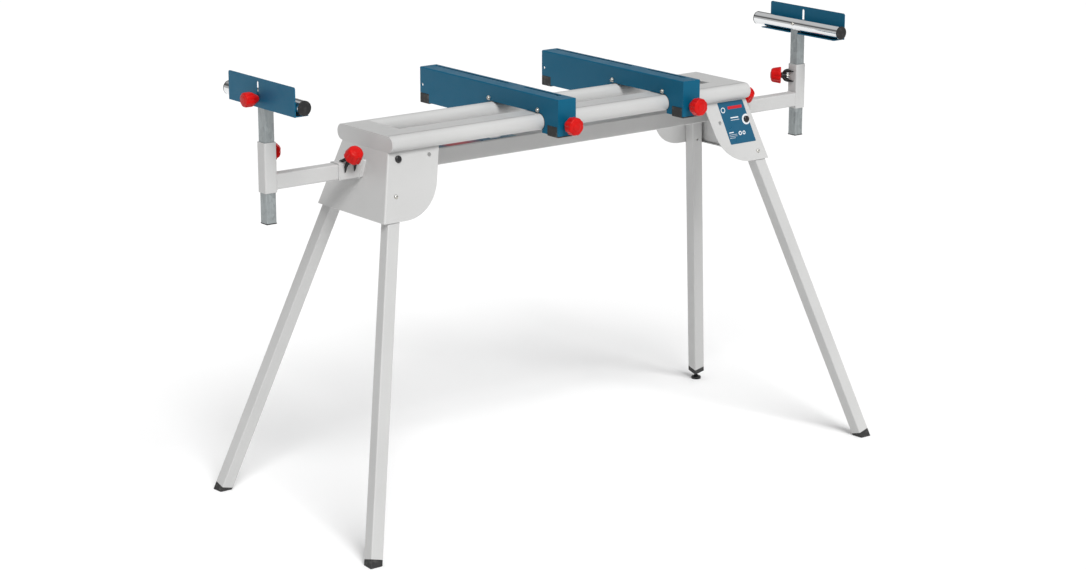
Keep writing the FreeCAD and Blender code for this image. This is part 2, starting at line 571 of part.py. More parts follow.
for side, end in SIDES:
    post_x, guide_z = size("post_x"), size("guide_z")
    corner = V(end * size("clamp_out_x"), -size("guide_deep") / 2, guide_z + size("guide_tall") / 2)
    clamp_knob(f"arm_knob_{side}", corner, arm_clamp_axis)
    corner_clip(f"arm_clip_{side}", FreeCAD.Placement(
        corner, FreeCAD.Rotation(ALONG, ALONG.cross(arm_clamp_axis) * -1, arm_clamp_axis, "ZXY")))

    arm_out = "{post_x} - {sleeve_size} / 2"
    arm = body_tube(f"arm_body_{side}", "YZ_Plane", "{arm_deep}", "{arm_tall}", "{tube_wall}",
                    f"{arm_out} - {{arm_inner_x}}")
    place(arm, V(end * (size("arm_inner_x") + (post_x - size("sleeve_size") / 2)) / 2, 0, guide_z))
    finish(arm, f"arm_{side}")

    # Upright sleeve, welded to the end of the arm.
    sleeve = body_tube(f"sleeve_body_{side}", "XY_Plane", "{sleeve_size}", "{sleeve_size}",
                       "{tube_wall}", "{sleeve_top_z} - {sleeve_bottom_z}", midplane=False)
    place(sleeve, V(end * post_x, 0, size("sleeve_bottom_z")))
    axis = post_clamp_axis[end]
    half = size("sleeve_size") / 2
    corner = V(end * (post_x - half), half, size("post_clamp_z"))
    sleeve_tools = [clamp_screw_hole(f"post_screw_hole_{side}", corner, axis)]
    finish(cut(f"post_sleeve_{side}", sleeve, sleeve_tools), f"post_sleeve_{side}")
    clamp_knob(f"post_knob_{side}", corner, axis)
    corner_clip(f"post_clip_{side}", FreeCAD.Placement(
        corner, FreeCAD.Rotation(UP, UP.cross(axis) * -1, axis, "ZXY")))

    # Height post: square tube whose top is hollowed to seat the bar.
    post = body_tube(f"post_body_{side}", "XY_Plane", "{post_size}", "{post_size}", "{tube_wall}",
                     "{bar_z} - {post_bottom_z}", midplane=False)
    place(post, V(end * post_x, 0, size("post_bottom_z")))
    seat = rod(f"bar_seat_{side}", "{bar_radius} + {fit_gap}", "60",
               V(end * post_x, -30, size("bar_z")), ACROSS)
    finish(cut(f"post_{side}", post, [seat]), f"post_{side}")
    inside = "{post_size} - 2 * {tube_wall} - 0.1"
    plug_parts = [block(f"plug_flange_{side}", ("{post_size}", "{post_size}", "{plug_thick}"),
                        (f"{end} * {{post_x}} - {{post_size}} / 2", "-{post_size} / 2",
                         "{post_bottom_z} - {plug_thick}")),
                  block(f"plug_stem_{side}", (inside, inside, "16"),
                        (f"{end} * {{post_x}} - ({inside}) / 2", f"-({inside}) / 2", "{post_bottom_z}"))]
    finish(fuse(f"post_plug_{side}", plug_parts), f"post_plug_{side}")

    # Fixed support bar with a cap in each end.
    bar_start = V(end * post_x, size("bar_y") - size("bar_half"), size("bar_z"))
    bar_tube = rod(f"bar_outer_{side}", "{bar_radius}", "2 * {bar_half}", bar_start, ACROSS)
    bar_bore = rod(f"bar_bore_{side}", "{bar_radius} - {bar_wall}", "2 * {bar_half} + 2",
                   bar_start - ACROSS, ACROSS)
    stop_hole = rod(f"bar_stop_hole_{side}", "{stud_radius} + {fit_gap}", "20",
                    V(end * post_x, 0, size("bar_z")), ALONG * end)
    finish(cut(f"support_bar_{side}", bar_tube, [bar_bore, stop_hole]), f"support_bar_{side}")
    caps = []
    for face in (-1, 1):
        cap_y = size("bar_y") + face * size("bar_half")
        rim = round_edges(f"bar_cap_rim_{side}", rod(f"bar_cap_disc_{side}", "{bar_radius}", "{cap_thick}",
                          V(end * post_x, cap_y, size("bar_z")), ACROSS * face), 1,
                          lambda edge, y=cap_y: min(abs(v.Point.y - y) for v in edge.Vertexes) > 1)
        stem = rod(f"bar_cap_stem_{side}", "{bar_radius} - {bar_wall} - 0.05", "12",
                   V(end * post_x, cap_y, size("bar_z")), ACROSS * -face)
        caps.append(fuse(f"bar_cap_{side}", [rim, stem]))
    finish(together(f"bar_caps_{side}", caps), f"bar_caps_{side}")

    # Workpiece stop: an upright plate outside the bar, its flange notched around the post.
    low_x = "{stop_x}" if end > 0 else "-{stop_x} - {stop_thick}"
    upright = block(f"stop_upright_{side}", ("{stop_thick}", "2 * {stop_half}",
                                             "{stop_top_z} - {stop_bottom_z}"),
                    (low_x, "{stop_y} - {stop_half}", "{stop_bottom_z}"))
    flange_x = "{stop_x} - {stop_flange} + {stop_thick}" if end > 0 else "-{stop_x} - {stop_thick}"
    flange = block(f"stop_flange_{side}", ("{stop_flange}", "2 * ({stop_half} - 2)", "{stop_thick}"),
                   (flange_x, "{stop_y} - {stop_half} + 2", "{stop_bottom_z}"))
    notch_x = f"{end} * {{post_x}} - {'40' if end > 0 else '14.2'}"
    notch = block(f"stop_notch_{side}", ("54.2", "{post_size} + 3", "6"),
                  (notch_x, "-{post_size} / 2 - 1.5", "{stop_bottom_z} - 2"))
    corner_round = round_edges(f"stop_plate_round_{side}", upright, 5,
                               lambda edge: runs_along(ALONG)(edge)
                               and edge.Vertexes[0].Point.z > size("stop_top_z") - 1)
    slot_tools = [block(f"stop_slot_mid_{side}",
                        ("20", "{stop_slot_wide}", "{stop_slot_top_z} - {stop_slot_bottom_z} - {stop_slot_wide}"),
                        (f"{end} * {{stop_x}} - 10", "-{stop_slot_wide} / 2",
                         "{stop_slot_bottom_z} + {stop_slot_wide} / 2"))]
    for z in (size("stop_slot_bottom_z") + size("stop_slot_wide") / 2,
              size("stop_slot_top_z") - size("stop_slot_wide") / 2):
        slot_tools.append(rod(f"stop_slot_end_{side}", "{stop_slot_wide} / 2", "20",
                              V(end * size("stop_x") - 10, 0, z), ALONG))
    stop = cut(f"stop_plate_{side}", fuse(f"stop_folded_{side}", [corner_round, flange]),
               [notch] + slot_tools)
    finish(stop, f"stop_plate_{side}")
    thrust_knob(f"stop_knob_{side}", V(end * (size("stop_x") + size("stop_thick")), 0, size("bar_z")),
                ALONG * end, 12, 16, 24, 18)

# ---------------------------------------------------------------- machine brackets

KNOB_Z = 847
saddle_centres = {depth: V(0, face * size("rail_y"), size("rail_z")) for depth, face in DEPTHS}


def bracket_slot(name, start_y, end_y):
    """A long slot in the top of the bracket for the machine's bolts."""
    run = f"{end_y} - ({start_y})"
    shift = "{slot_shift_x}"
    parts = [block(f"{name}_mid", ("{slot_wide}", run, "10"),
                   (f"{shift} - {{slot_wide}} / 2", start_y, "{bracket_top_z} - 5"))]
    for y in (start_y, end_y):
        parts.append(rod(f"{name}_end", "{slot_wide} / 2", "10",
                         V(size("slot_shift_x"), y, size("bracket_top_z") - 5)))
    return parts


for side in ("left", "right"):
    shift = V(size(f"bracket_{side}_x"), 0, 0)
    # The sides reach round the front of the front rail, and end behind the rear rail.
    front_in, rear_in = "-{rail_y} - {hook_reach}", "{rail_y} + {saddle_radius}"
    profile = [("{bracket_front_y}", "{bracket_low_z}"), (front_in, "{bracket_low_z}"),
               (front_in, "{rail_z}"), ("-{rail_y}", "{bracket_mid_z}"), ("{rail_y}", "{bracket_mid_z}"),
               (rear_in, "{rail_z}"), (rear_in, "{bracket_low_z} + {rear_rise}"),
               ("{bracket_rear_y}", "{bracket_low_z} + {rear_rise}"), ("{bracket_rear_y}", "{bracket_top_z}"),
               ("{bracket_front_y}", "{bracket_top_z}")]
    outer = body_pad(f"bracket_outer_{side}", "YZ_Plane", profile, "{bracket_wide}")
    body_fillet(outer, "3", lambda edge: edge.Curve.TypeId == "Part::GeomLine"
                and abs(edge.Curve.Direction.y) > 0.99
                and edge.Vertexes[0].Point.z > size("bracket_top_z") - 1)
    hollow = block(f"bracket_hollow_{side}", ("{bracket_wide} - 2 * {bracket_sheet}",
                                              "{bracket_rear_y} - {bracket_front_y} - {bracket_sheet} + 1",
                                              "{bracket_top_z} - {bracket_low_z} - {bracket_sheet} + 1"),
                   ("-{bracket_wide} / 2 + {bracket_sheet}", "{bracket_front_y} + {bracket_sheet}",
                    "{bracket_low_z} - 1"))
    tools = [hollow]
    for depth, face in DEPTHS:
        tools.append(rod(f"saddle_{side}_{depth}", "{saddle_radius}", "{bracket_wide} + 2",
                         saddle_centres[depth] - ALONG * (size("bracket_wide") / 2 + 1), ALONG))
    tools += bracket_slot(f"rear_slot_{side}", 76, 360) + bracket_slot(f"front_slot_{side}", -112, 12)
    tools.append(rod(f"keyhole_{side}", "6.5", "10", V(size("slot_shift_x"), -112, size("bracket_top_z") - 5)))
    tools.append(rod(f"side_hole_{side}", "3.5", "60", V(-30, 364, 863), ALONG))
    tools.append(rod(f"knob_hole_{side}", "{stud_radius} + 0.3", "10",
                     V(0, size("bracket_front_y") - 5, KNOB_Z), ACROSS))
    foot_places = {"front": ("-153", "36", "{bracket_low_z}"),
                   "rear": ("338", "36", "{bracket_low_z} + {rear_rise}")}
    for depth, (y, long, z) in foot_places.items():
        tools.append(block(f"foot_notch_{side}_{depth}", ("{bracket_wide} + 2", long, "{foot_tall} - 3"),
                           ("-{bracket_wide} / 2 - 1", y, z)))
    channel = cut(f"bracket_channel_{side}", outer, tools)
    channel.Placement = FreeCAD.Placement(shift, FreeCAD.Rotation())
    finish(channel, f"machine_bracket_{side}")

    # Plastic liners on top of each rail, inside the saddles.
    liners = []
    for depth, face in DEPTHS:
        ring_start = saddle_centres[depth] - ALONG * size("bracket_wide") / 2
        ring = cut(f"liner_ring_{side}_{depth}",
                   rod(f"liner_out_{side}_{depth}", "{saddle_radius} - 0.05", "{bracket_wide}", ring_start, ALONG),
                   [rod(f"liner_in_{side}_{depth}", "{rail_radius} + 0.3", "{bracket_wide}", ring_start, ALONG)])
        keep_y = "{rail_y} - 3.8" if face > 0 else "-{rail_y} - 21"
        keep = [block(f"liner_keep_{side}_{depth}", ("{bracket_wide}", "24.8", "30"),
                      ("-{bracket_wide} / 2", keep_y, "{rail_z} + 5"))]
        if depth == "front":
            # In front of the rail the liner lies only under the two sides, past the jaw.
            for strip_x in ("-{bracket_wide} / 2", "{bracket_wide} / 2 - 4.5"):
                keep.append(block(f"liner_strip_{side}", ("4.5", "12", "24"),
                                  (strip_x, "-{rail_y} - 21", "{rail_z} - 17")))
        liners.append(common(f"liner_{side}_{depth}", ring, fuse(f"liner_room_{side}_{depth}", keep)
                             if len(keep) > 1 else keep[0]))
    liner = together(f"bracket_liners_{side}", liners)
    liner.Placement = FreeCAD.Placement(shift, FreeCAD.Rotation())
    finish(liner, f"bracket_liners_{side}")

    # Rubber feet in the lower corners, on which the bracket stands when it is off the rails.
    # The front one has a sole under the front sheet and a pocket for the jaw.
    feet = {}
    for depth, (y, long, z) in foot_places.items():
        feet[depth] = block(f"foot_{side}_{depth}",
                            ("{bracket_wide}", f"{long} - 0.2", "{foot_tall} - 3.4 + {foot_drop}"),
                            ("-{bracket_wide} / 2", f"{y} + 0.1", f"{z} - {{foot_drop}}"))
    sole = block(f"foot_sole_{side}", ("{bracket_wide}", "12", "{foot_drop} - 0.1"),
                 ("-{bracket_wide} / 2", "{bracket_front_y}", "{bracket_low_z} - {foot_drop}"))
    pocket = block(f"foot_pocket_{side}", ("41.2", "10", "40"), ("-20.6", "-124.4", "810"))
    front_foot = cut(f"foot_soled_{side}", fuse(f"foot_whole_{side}", [feet["front"], sole]), [pocket])
    rubber = together(f"bracket_feet_{side}", [front_foot, feet["rear"]])
    rubber.Placement = FreeCAD.Placement(shift, FreeCAD.Rotation())
    finish(rubber, f"bracket_feet_{side}")

    # Clamp jaw: hooks under the front rail and is drawn against it by the knob.
    jaw_solid = fuse(f"jaw_solid_{side}", [
        block(f"jaw_block_{side}", ("40", "14", "26"), ("-20", "-119.9", "824")),
        block(f"jaw_lip_{side}", ("40", "23", "6"), ("-20", "-119.9", "824"))])
    jaw = cut(f"clamp_jaw_{side}", jaw_solid,
              [rod(f"jaw_rail_{side}", "{rail_radius} + 0.3", "60", saddle_centres["front"] - ALONG * 30, ALONG),
               rod(f"jaw_thread_{side}", "{stud_radius} + {fit_gap}", "30", V(0, -125, KNOB_Z), ACROSS)])
    jaw.Placement = FreeCAD.Placement(shift, FreeCAD.Rotation())
    finish(jaw, f"clamp_jaw_{side}")
    thrust_knob(f"bracket_knob_{side}", shift + V(0, size("bracket_front_y") - 0.5, KNOB_Z),
                ACROSS * -1, 47, 20, 14, 18)

# ---------------------------------------------------------------- check and write

doc.recompute()
for obj in doc.Objects:
    if "Invalid" in obj.State or "Error" in obj.State:
        raise RuntimeError(f"{obj.Label} failed: {obj.State}")
for node in nodes:
    if node.Shape.isNull() or not node.Shape.isValid():
        raise RuntimeError(node.Label + " has no valid shape")

os.makedirs("parts", exist_ok=True)
for node in nodes:
    node.Shape.exportStep(f"parts/{node.Label}.step")
print(len(nodes), "sub-parts written")
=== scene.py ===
"""Looks of the folding machine stand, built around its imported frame.

Metres, +X along the rails, -Y the operator's side, +Z up, floor at zero.
"""

import json
import math

import bmesh
import bpy
from bpy.props import FloatProperty, FloatVectorProperty, IntProperty, PointerProperty
from mathutils import Matrix, Vector


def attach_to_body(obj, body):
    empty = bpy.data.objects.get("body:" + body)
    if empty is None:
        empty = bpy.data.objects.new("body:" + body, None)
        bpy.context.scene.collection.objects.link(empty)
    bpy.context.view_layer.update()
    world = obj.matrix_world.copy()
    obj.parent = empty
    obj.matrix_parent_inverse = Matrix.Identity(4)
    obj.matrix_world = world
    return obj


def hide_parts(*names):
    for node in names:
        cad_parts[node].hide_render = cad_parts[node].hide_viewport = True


bl_info = {
    "name": "Folding machine stand",
    "version": (1, 0, 0),
    "blender": (4, 5, 0),
    "location": "3D View > Sidebar > Stand",
    "description": "Coated metalwork, moulded grips, fixings and prints of a folding machine stand",
    "category": "Object",
}

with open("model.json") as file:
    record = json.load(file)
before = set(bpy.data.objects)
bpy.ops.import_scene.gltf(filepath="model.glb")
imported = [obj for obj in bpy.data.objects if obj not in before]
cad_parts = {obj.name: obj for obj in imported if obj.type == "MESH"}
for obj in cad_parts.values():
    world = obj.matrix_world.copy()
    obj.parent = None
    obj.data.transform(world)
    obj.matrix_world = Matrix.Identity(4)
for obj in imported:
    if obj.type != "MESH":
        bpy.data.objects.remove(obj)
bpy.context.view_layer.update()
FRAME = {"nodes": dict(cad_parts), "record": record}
MM = 0.001
SIDES = (("left", -1), ("right", 1))
DEPTHS = (("front", -1), ("rear", 1))


# ------------------------------------------------------------------ sizes and colours

def length(name, description, value, **limits):
    return FloatProperty(name=name, description=description, default=value * MM, unit="LENGTH",
                         precision=5, **limits)


def colour(name, description, value):
    return FloatVectorProperty(name=name, description=description, default=value, subtype="COLOR",
                               size=3, min=0.0, max=1.0)


class StandSizes(bpy.types.PropertyGroup):
    """Sizes of the pieces that are made here."""

    sheet_edge: length("Sheet edge", "Rounding of the edges of sheet and tube", 0.45)
    moulded_edge: length("Moulded edge", "Rounding of the edges of rubber and plastic", 0.9)
    grip_radius: length("Grip radius", "Wide end of a clamp grip", 20.5)
    grip_height: length("Grip height", "Length of a clamp grip", 26.0)
    grip_lobes: IntProperty(name="Grip lobes", description="Scallops around a grip", default=8, min=3)
    grip_depth: length("Scallop depth", "How deep the scallops of a grip are", 1.8)
    thrust_radius: length("Thrust grip radius", "Outer end of a bracket grip", 20.5)
    prong_reach: length("Prong reach", "How far a clip's prongs run down the tube", 21.0)
    prong_gap: length("Prong spacing", "From the screw to each prong of a clip", 12.0)
    prong_thick: length("Prong thickness", "Radius of a clip's prong at its root", 4.2)
    screw_radius: length("Screw head", "Radius of the bracket screws' heads", 4.2)
    washer_radius: length("Washer", "Radius of the bracket screws' washers", 5.4)
    bead_radius: length("Weld bead", "Radius of the ripples of a weld", 1.5)


class StandColours(bpy.types.PropertyGroup):
    """Base colours of the finishes."""

    coat: colour("Grey coat", "Powder coat of the frame", (0.50, 0.50, 0.495))
    blue: colour("Blue coat", "Powder coat of brackets and stops", (0.0003, 0.090, 0.170))
    zinc: colour("Zinc", "Galvanised posts", (0.30, 0.325, 0.33))
    bright: colour("Bright zinc", "Screws, buttons and springs", (0.62, 0.62, 0.60))
    chrome: colour("Chrome", "Support bars", (0.80, 0.81, 0.82))
    red: colour("Red plastic", "Grips", (0.52, 0.004, 0.004))
    black: colour("Black plastic", "Clips, caps, plugs and jaws", (0.009, 0.009, 0.0095))
    rubber: colour("Rubber", "Feet", (0.018, 0.018, 0.018))
    print_blue: colour("Print blue", "Ground of the printed plates", (0.006, 0.085, 0.16))
    print_red: colour("Print red", "Bars on the printed plates", (0.50, 0.01, 0.02))
    print_white: colour("Print white", "Lines on the printed plates", (0.72, 0.74, 0.76))
    floor: colour("Floor", "The studio floor", (0.955, 0.955, 0.955))


class StudioSettings(bpy.types.PropertyGroup):
    """Camera and lamps of the studio."""

    azimuth: FloatProperty(name="Azimuth", description="Camera's turn about the stand, 0 along +Y",
                           default=math.radians(-37.72), subtype="ANGLE")
    pitch: FloatProperty(name="Pitch", description="Camera's height angle", default=math.radians(15.0),
                         subtype="ANGLE")
    distance: length("Distance", "From the camera to the point it circles", 6065.3)
    aside: length("Aside", "Camera's step to its right", -19.8)
    rise: length("Rise", "Camera's step along its own up", -104.1)
    centre_height: length("Centre height", "Height of the point the camera circles", 540.0)
    lens: FloatProperty(name="Lens", description="Focal length in millimetres", default=86.92)
    key: FloatProperty(name="Key", description="Strength of the broad front lamp", default=2.75)
    softness: FloatProperty(name="Softness", description="Angle that the lamp fills in the sky",
                            default=math.radians(28.0), subtype="ANGLE")
    ambient: FloatProperty(name="Ambient", description="Strength of the surroundings", default=0.46)


def sizes():
    return bpy.context.scene.stand_sizes


def colours():
    return bpy.context.scene.stand_colours


# ------------------------------------------------------------------ node trees

class Graph:
    """Adds nodes to a tree; an input is given either a socket to link or a plain value."""

    def __init__(self, tree):
        self.tree = tree

    def join(self, source, target):
        if isinstance(source, bpy.types.NodeSocket):
            self.tree.links.new(source, target)
        else:
            target.default_value = source

    def node(self, kind, inputs=(), **settings):
        made = self.tree.nodes.new(kind)
        for key, value in settings.items():
            setattr(made, key, value)
        for key, value in dict(inputs).items():
            self.join(value, made.inputs[key])
        return made

    def maths(self, operation, *values, clamp=False):
        made = self.node("ShaderNodeMath", operation=operation, use_clamp=clamp)
        for index, value in enumerate(values):
            self.join(value, made.inputs[index])
        return made.outputs[0]


class Finish(Graph):
    """A material: one Principled shader and the patterns that feed it."""

    def __init__(self, name, base, roughness, metallic=0.0, **shader):
        self.material = bpy.data.materials.new(name)
        self.material.use_nodes = True
        self.material.diffuse_color = (*base, 1.0)
        super().__init__(self.material.node_tree)
        self.base = tuple(base)
        self.shader = self.tree.nodes["Principled BSDF"]
        self.shader.inputs["Base Color"].default_value = (*base, 1.0)
        self.shader.inputs["Roughness"].default_value = roughness
        self.shader.inputs["Metallic"].default_value = metallic
        for key, value in shader.items():
            self.shader.inputs[key.replace("_", " ")].default_value = value
        self.place = self.node("ShaderNodeTexCoord").outputs["Object"]

    def stretched(self, scale, turn=(0.0, 0.0, 0.0), place=None):
        return self.node("ShaderNodeMapping", {"Vector": place or self.place, "Scale": scale,
                                               "Rotation": turn}).outputs["Vector"]

    def noise(self, scale, detail=2.0, place=None, roughness=0.5, distortion=0.0):
        return self.node("ShaderNodeTexNoise", {
            "Vector": place or self.place, "Scale": scale, "Detail": detail, "Roughness": roughness,
            "Distortion": distortion}).outputs["Fac"]

    def cells(self, scale, feature="F1", output="Distance", place=None):
        return self.node("ShaderNodeTexVoronoi", {"Vector": place or self.place, "Scale": scale},
                         feature=feature).outputs[output]

    def span(self, value, low, high, to_low=0.0, to_high=1.0):
        return self.node("ShaderNodeMapRange", {"Value": value, "From Min": low, "From Max": high,
                                                "To Min": to_low, "To Max": to_high}).outputs["Result"]

    def blend(self, share, first, second, mode="MIX"):
        made = self.node("ShaderNodeMix", data_type="RGBA", blend_type=mode)
        self.join(share, made.inputs["Factor"])
        for index, value in ((6, first), (7, second)):
            self.join((*value, 1.0) if isinstance(value, tuple) else value, made.inputs[index])
        return made.outputs[2]

    def shades(self, share, dark, light):
        """The base colour between a darker and a lighter shade of itself."""
        low = tuple(min(1.0, c * dark) for c in self.base)
        high = tuple(min(1.0, c * light) for c in self.base)
        return self.blend(share, low, high)

    def edges(self, radius, low=0.02, high=0.12):
        """One along the piece's edges, none on its flats."""
        soft = self.node("ShaderNodeBevel", {"Radius": radius}, samples=4).outputs["Normal"]
        flat = self.node("ShaderNodeNewGeometry").outputs["Normal"]
        facing = self.node("ShaderNodeVectorMath", operation="DOT_PRODUCT")
        self.join(soft, facing.inputs[0])
        self.join(flat, facing.inputs[1])
        return self.span(self.maths("SUBTRACT", 1.0, facing.outputs["Value"]), low, high)

    def paint(self, value):
        self.join(value, self.shader.inputs["Base Color"])

    def gloss(self, value):
        self.join(value, self.shader.inputs["Roughness"])

    def relief(self, *layers):
        """Bump from several heights, each with its depth in metres."""
        normal = None
        for height, depth in layers:
            made = self.node("ShaderNodeBump", {"Height": height, "Distance": depth, "Strength": 1.0})
            if normal is not None:
                self.join(normal, made.inputs["Normal"])
            normal = made.outputs["Normal"]
        self.join(normal, self.shader.inputs["Normal"])


# ------------------------------------------------------------------ finishes

def powder_coat(name, base, roughness, worn, **shader):
    """Baked powder coat: orange peel, faint clouding, scuffs and thin spots along the edges."""
    f = Finish(name, base, roughness, **shader)
    cloud = f.noise(5.0, 3.0)
    fleck = f.noise(1500.0, 1.0)
    tone = f.maths("ADD", f.maths("MULTIPLY", cloud, 0.62), f.maths("MULTIPLY", fleck, 0.38))
    shaded = f.shades(f.span(tone, 0.3, 0.7), 0.945, 1.05)
    edge = f.edges(0.0011)
    chips = f.maths("MULTIPLY", edge, f.span(f.noise(240.0, 4.0, roughness=0.7), 0.56, 0.62))
    thin = tuple(min(1.0, c * 1.25 + 0.02) for c in base)
    rubbed = f.blend(f.maths("MULTIPLY", edge, 0.22), shaded, thin)
    f.paint(f.blend(f.maths("MULTIPLY", chips, worn), rubbed, (0.30, 0.30, 0.295)))
    streak = f.noise(3.2, 4.0, place=f.stretched((60.0, 9.0, 90.0), (0.3, 0.5, 0.2)), roughness=0.65)
    scuff = f.maths("MULTIPLY", f.span(streak, 0.58, 0.70), f.span(cloud, 0.45, 0.62))
    handled = f.span(f.noise(26.0, 3.0), 0.35, 0.75, roughness - 0.05, roughness + 0.07)
    f.gloss(f.maths("ADD", handled, f.maths("MULTIPLY", scuff, 0.10), clamp=True))
    f.relief((f.noise(620.0, 2.0), 0.00006), (fleck, 0.00002))
    return f.material


def galvanised(name, base):
    """Hot-dip zinc: overlapping spangles, drawn lines and dull patches."""
    f = Finish(name, base, 0.42, metallic=0.85)
    spangle = f.cells(150.0, output="Color", place=f.stretched((1.0, 1.0, 0.55)))
    grain = f.node("ShaderNodeSeparateColor", {"Color": spangle}).outputs[0]
    drawn = f.noise(900.0, 2.0, place=f.stretched((1.0, 1.0, 0.015)))
    dull = f.noise(38.0, 4.0)
    tone = f.maths("ADD", f.maths("MULTIPLY", grain, 0.45), f.maths("MULTIPLY", drawn, 0.55))
    f.paint(f.blend(f.span(dull, 0.45, 0.7, 0.0, 0.35), f.shades(tone, 0.55, 1.55), (0.38, 0.41, 0.41)))
    f.gloss(f.maths("ADD", f.span(grain, 0.0, 1.0, 0.30, 0.50), f.span(dull, 0.4, 0.7, 0.0, 0.12)))
    f.relief((drawn, 0.00003), (grain, 0.00001))
    return f.material


def bright_zinc(name, base):
    """Plated fixings: a fine turned grain and yellowish clouding."""
    f = Finish(name, base, 0.28, metallic=1.0)
    cloud = f.noise(160.0, 3.0)
    f.paint(f.blend(f.span(cloud, 0.35, 0.7), tuple(base), (0.66, 0.63, 0.56)))
    f.gloss(f.span(f.noise(520.0, 3.0), 0.3, 0.7, 0.20, 0.38))
    f.relief((f.noise(2200.0, 2.0), 0.00002))
    return f.material


def chrome_plate(name, base):
    """Polished chrome with hairline scratches round the bar and light finger marks."""
    f = Finish(name, base, 0.07, metallic=1.0)
    lines = f.noise(700.0, 3.0, place=f.stretched((1.0, 0.06, 1.0)))
    marks = f.noise(30.0, 4.0, roughness=0.6)
    f.paint(f.blend(f.span(marks, 0.5, 0.75, 0.0, 0.25), tuple(base), (0.66, 0.67, 0.68)))
    f.gloss(f.maths("ADD", f.span(marks, 0.45, 0.75, 0.05, 0.14), f.span(lines, 0.6, 0.8, 0.0, 0.08)))
    f.relief((lines, 0.000006))
    return f.material


def moulded(name, base, roughness, grain, depth, dust=0.0, **shader):
    """Moulded plastic or rubber: spark-eroded grain, polished edges and a little dust."""
    f = Finish(name, base, roughness, **shader)
    pits = f.cells(grain)
    cloud = f.noise(70.0, 3.0)
    edge = f.edges(0.0008)
    tone = f.shades(f.span(cloud, 0.3, 0.7), 0.86, 1.12)
    dusted = f.blend(f.span(f.noise(110.0, 4.0), 0.5, 0.8, 0.0, dust), tone, (0.30, 0.29, 0.27))
    polished = tuple(min(1.0, c * 1.5 + 0.02) for c in base)
    f.paint(f.blend(f.maths("MULTIPLY", edge, 0.16), dusted, polished))
    f.gloss(f.maths("SUBTRACT", f.span(cloud, 0.3, 0.7, roughness - 0.04, roughness + 0.07),
                    f.maths("MULTIPLY", edge, 0.10), clamp=True))
    f.relief((pits, depth), (f.noise(grain * 0.4, 2.0), depth * 0.8))
    return f.material


def black_oxide(name):
    """Blackened bolt heads."""
    f = Finish(name, (0.012, 0.012, 0.013), 0.32)
    cloud = f.noise(300.0, 3.0)
    f.paint(f.shades(cloud, 0.7, 1.6))
    f.gloss(f.span(cloud, 0.3, 0.7, 0.22, 0.42))
    f.relief((f.noise(1700.0, 2.0), 0.00002))
    return f.material


def printed_film(name, plan):
    """Satin printed film; plan draws on the ground colour in the plate's own map, in metres."""
    c = colours()
    f = Finish(name, tuple(c.print_blue), 0.33)
    uv = f.node("ShaderNodeUVMap", uv_map="Plate").outputs["UV"]
    split = f.node("ShaderNodeSeparateXYZ", {"Vector": uv})
    along, up = split.outputs["X"], split.outputs["Y"]

    def bar(value, low, high):
        """One where the value is between two limits, with a thin soft edge."""
        soft = 0.00015
        return f.maths("MULTIPLY", f.span(value, low - soft, low + soft),
                       f.span(value, high - soft, high + soft, 1.0, 0.0))

    ground = f.shades(f.noise(60.0, 3.0), 0.93, 1.08)
    f.paint(plan(f, ground, along, up, bar))
    f.gloss(f.span(f.noise(45.0, 3.0), 0.3, 0.7, 0.26, 0.40))
    f.relief((f.noise(900.0, 2.0), 0.00001))
    return f.material


def cheek_plan(f, ground, along, up, bar):
    """A red bar, a few white lines and rings, and a white ring round the hinge; no lettering."""
    c = colours()
    white, red = tuple(c.print_white), tuple(c.print_red)

    def disc(x, y, radius):
        dx, dy = f.maths("SUBTRACT", along, x), f.maths("SUBTRACT", up, y)
        square = f.maths("ADD", f.maths("MULTIPLY", dx, dx), f.maths("MULTIPLY", dy, dy))
        return f.span(f.maths("SQRT", square), radius - 0.0002, radius + 0.0002, 1.0, 0.0)

    shown = f.blend(f.maths("MULTIPLY", bar(along, 0.030, 0.074), bar(up, 0.0835, 0.0905)), ground, red)
    shown = f.blend(disc(0.0812, 0.0546, 0.0126), shown, white)
    shown = f.blend(disc(0.0145, 0.0830, 0.0066), shown, white)
    shown = f.blend(disc(0.0145, 0.0830, 0.0048), shown, tuple(c.print_blue))
    for low, high, start, end in ((0.0615, 0.0640, 0.034, 0.058), (0.0565, 0.0575, 0.034, 0.060),
                                  (0.0270, 0.0292, 0.022, 0.036), (0.0225, 0.0232, 0.022, 0.046),
                                  (0.0185, 0.0192, 0.022, 0.046), (0.0145, 0.0152, 0.022, 0.040)):
        shown = f.blend(f.maths("MULTIPLY", bar(along, start, end), bar(up, low, high)), shown, white)
    for x, radius in ((0.0560, 0.0050), (0.0680, 0.0045)):
        shown = f.blend(disc(x, 0.0240, radius), shown, white)
        shown = f.blend(disc(x, 0.0240, radius * 0.55), shown, tuple(c.print_blue))
    return shown


def tube_plan(f, ground, along, up, bar):
    """A long strip from blue through a red streak to blue again, with a pale patch near its end."""
    c = colours()
    red, white = tuple(c.print_red), tuple(c.print_white)
    streak = f.maths("MULTIPLY", f.span(along, 0.012, 0.035), f.span(along, 0.075, 0.120, 1.0, 0.0))
    shown = f.blend(streak, ground, red)
    shown = f.blend(f.maths("MULTIPLY", bar(along, 0.150, 0.178), bar(up, 0.010, 0.020)), shown, white)
    return f.blend(f.span(along, 0.175, 0.230, 0.0, 0.6), shown, (0.06, 0.30, 0.42))


def floor_finish(name, base):
    """Matt painted floor with very faint clouding."""
    f = Finish(name, base, 0.85, Specular_IOR_Level=0.15)
    f.paint(f.shades(f.noise(1.3, 3.0), 0.985, 1.0))
    f.relief((f.noise(90.0, 3.0), 0.0001))
    return f.material


MATERIALS = {}


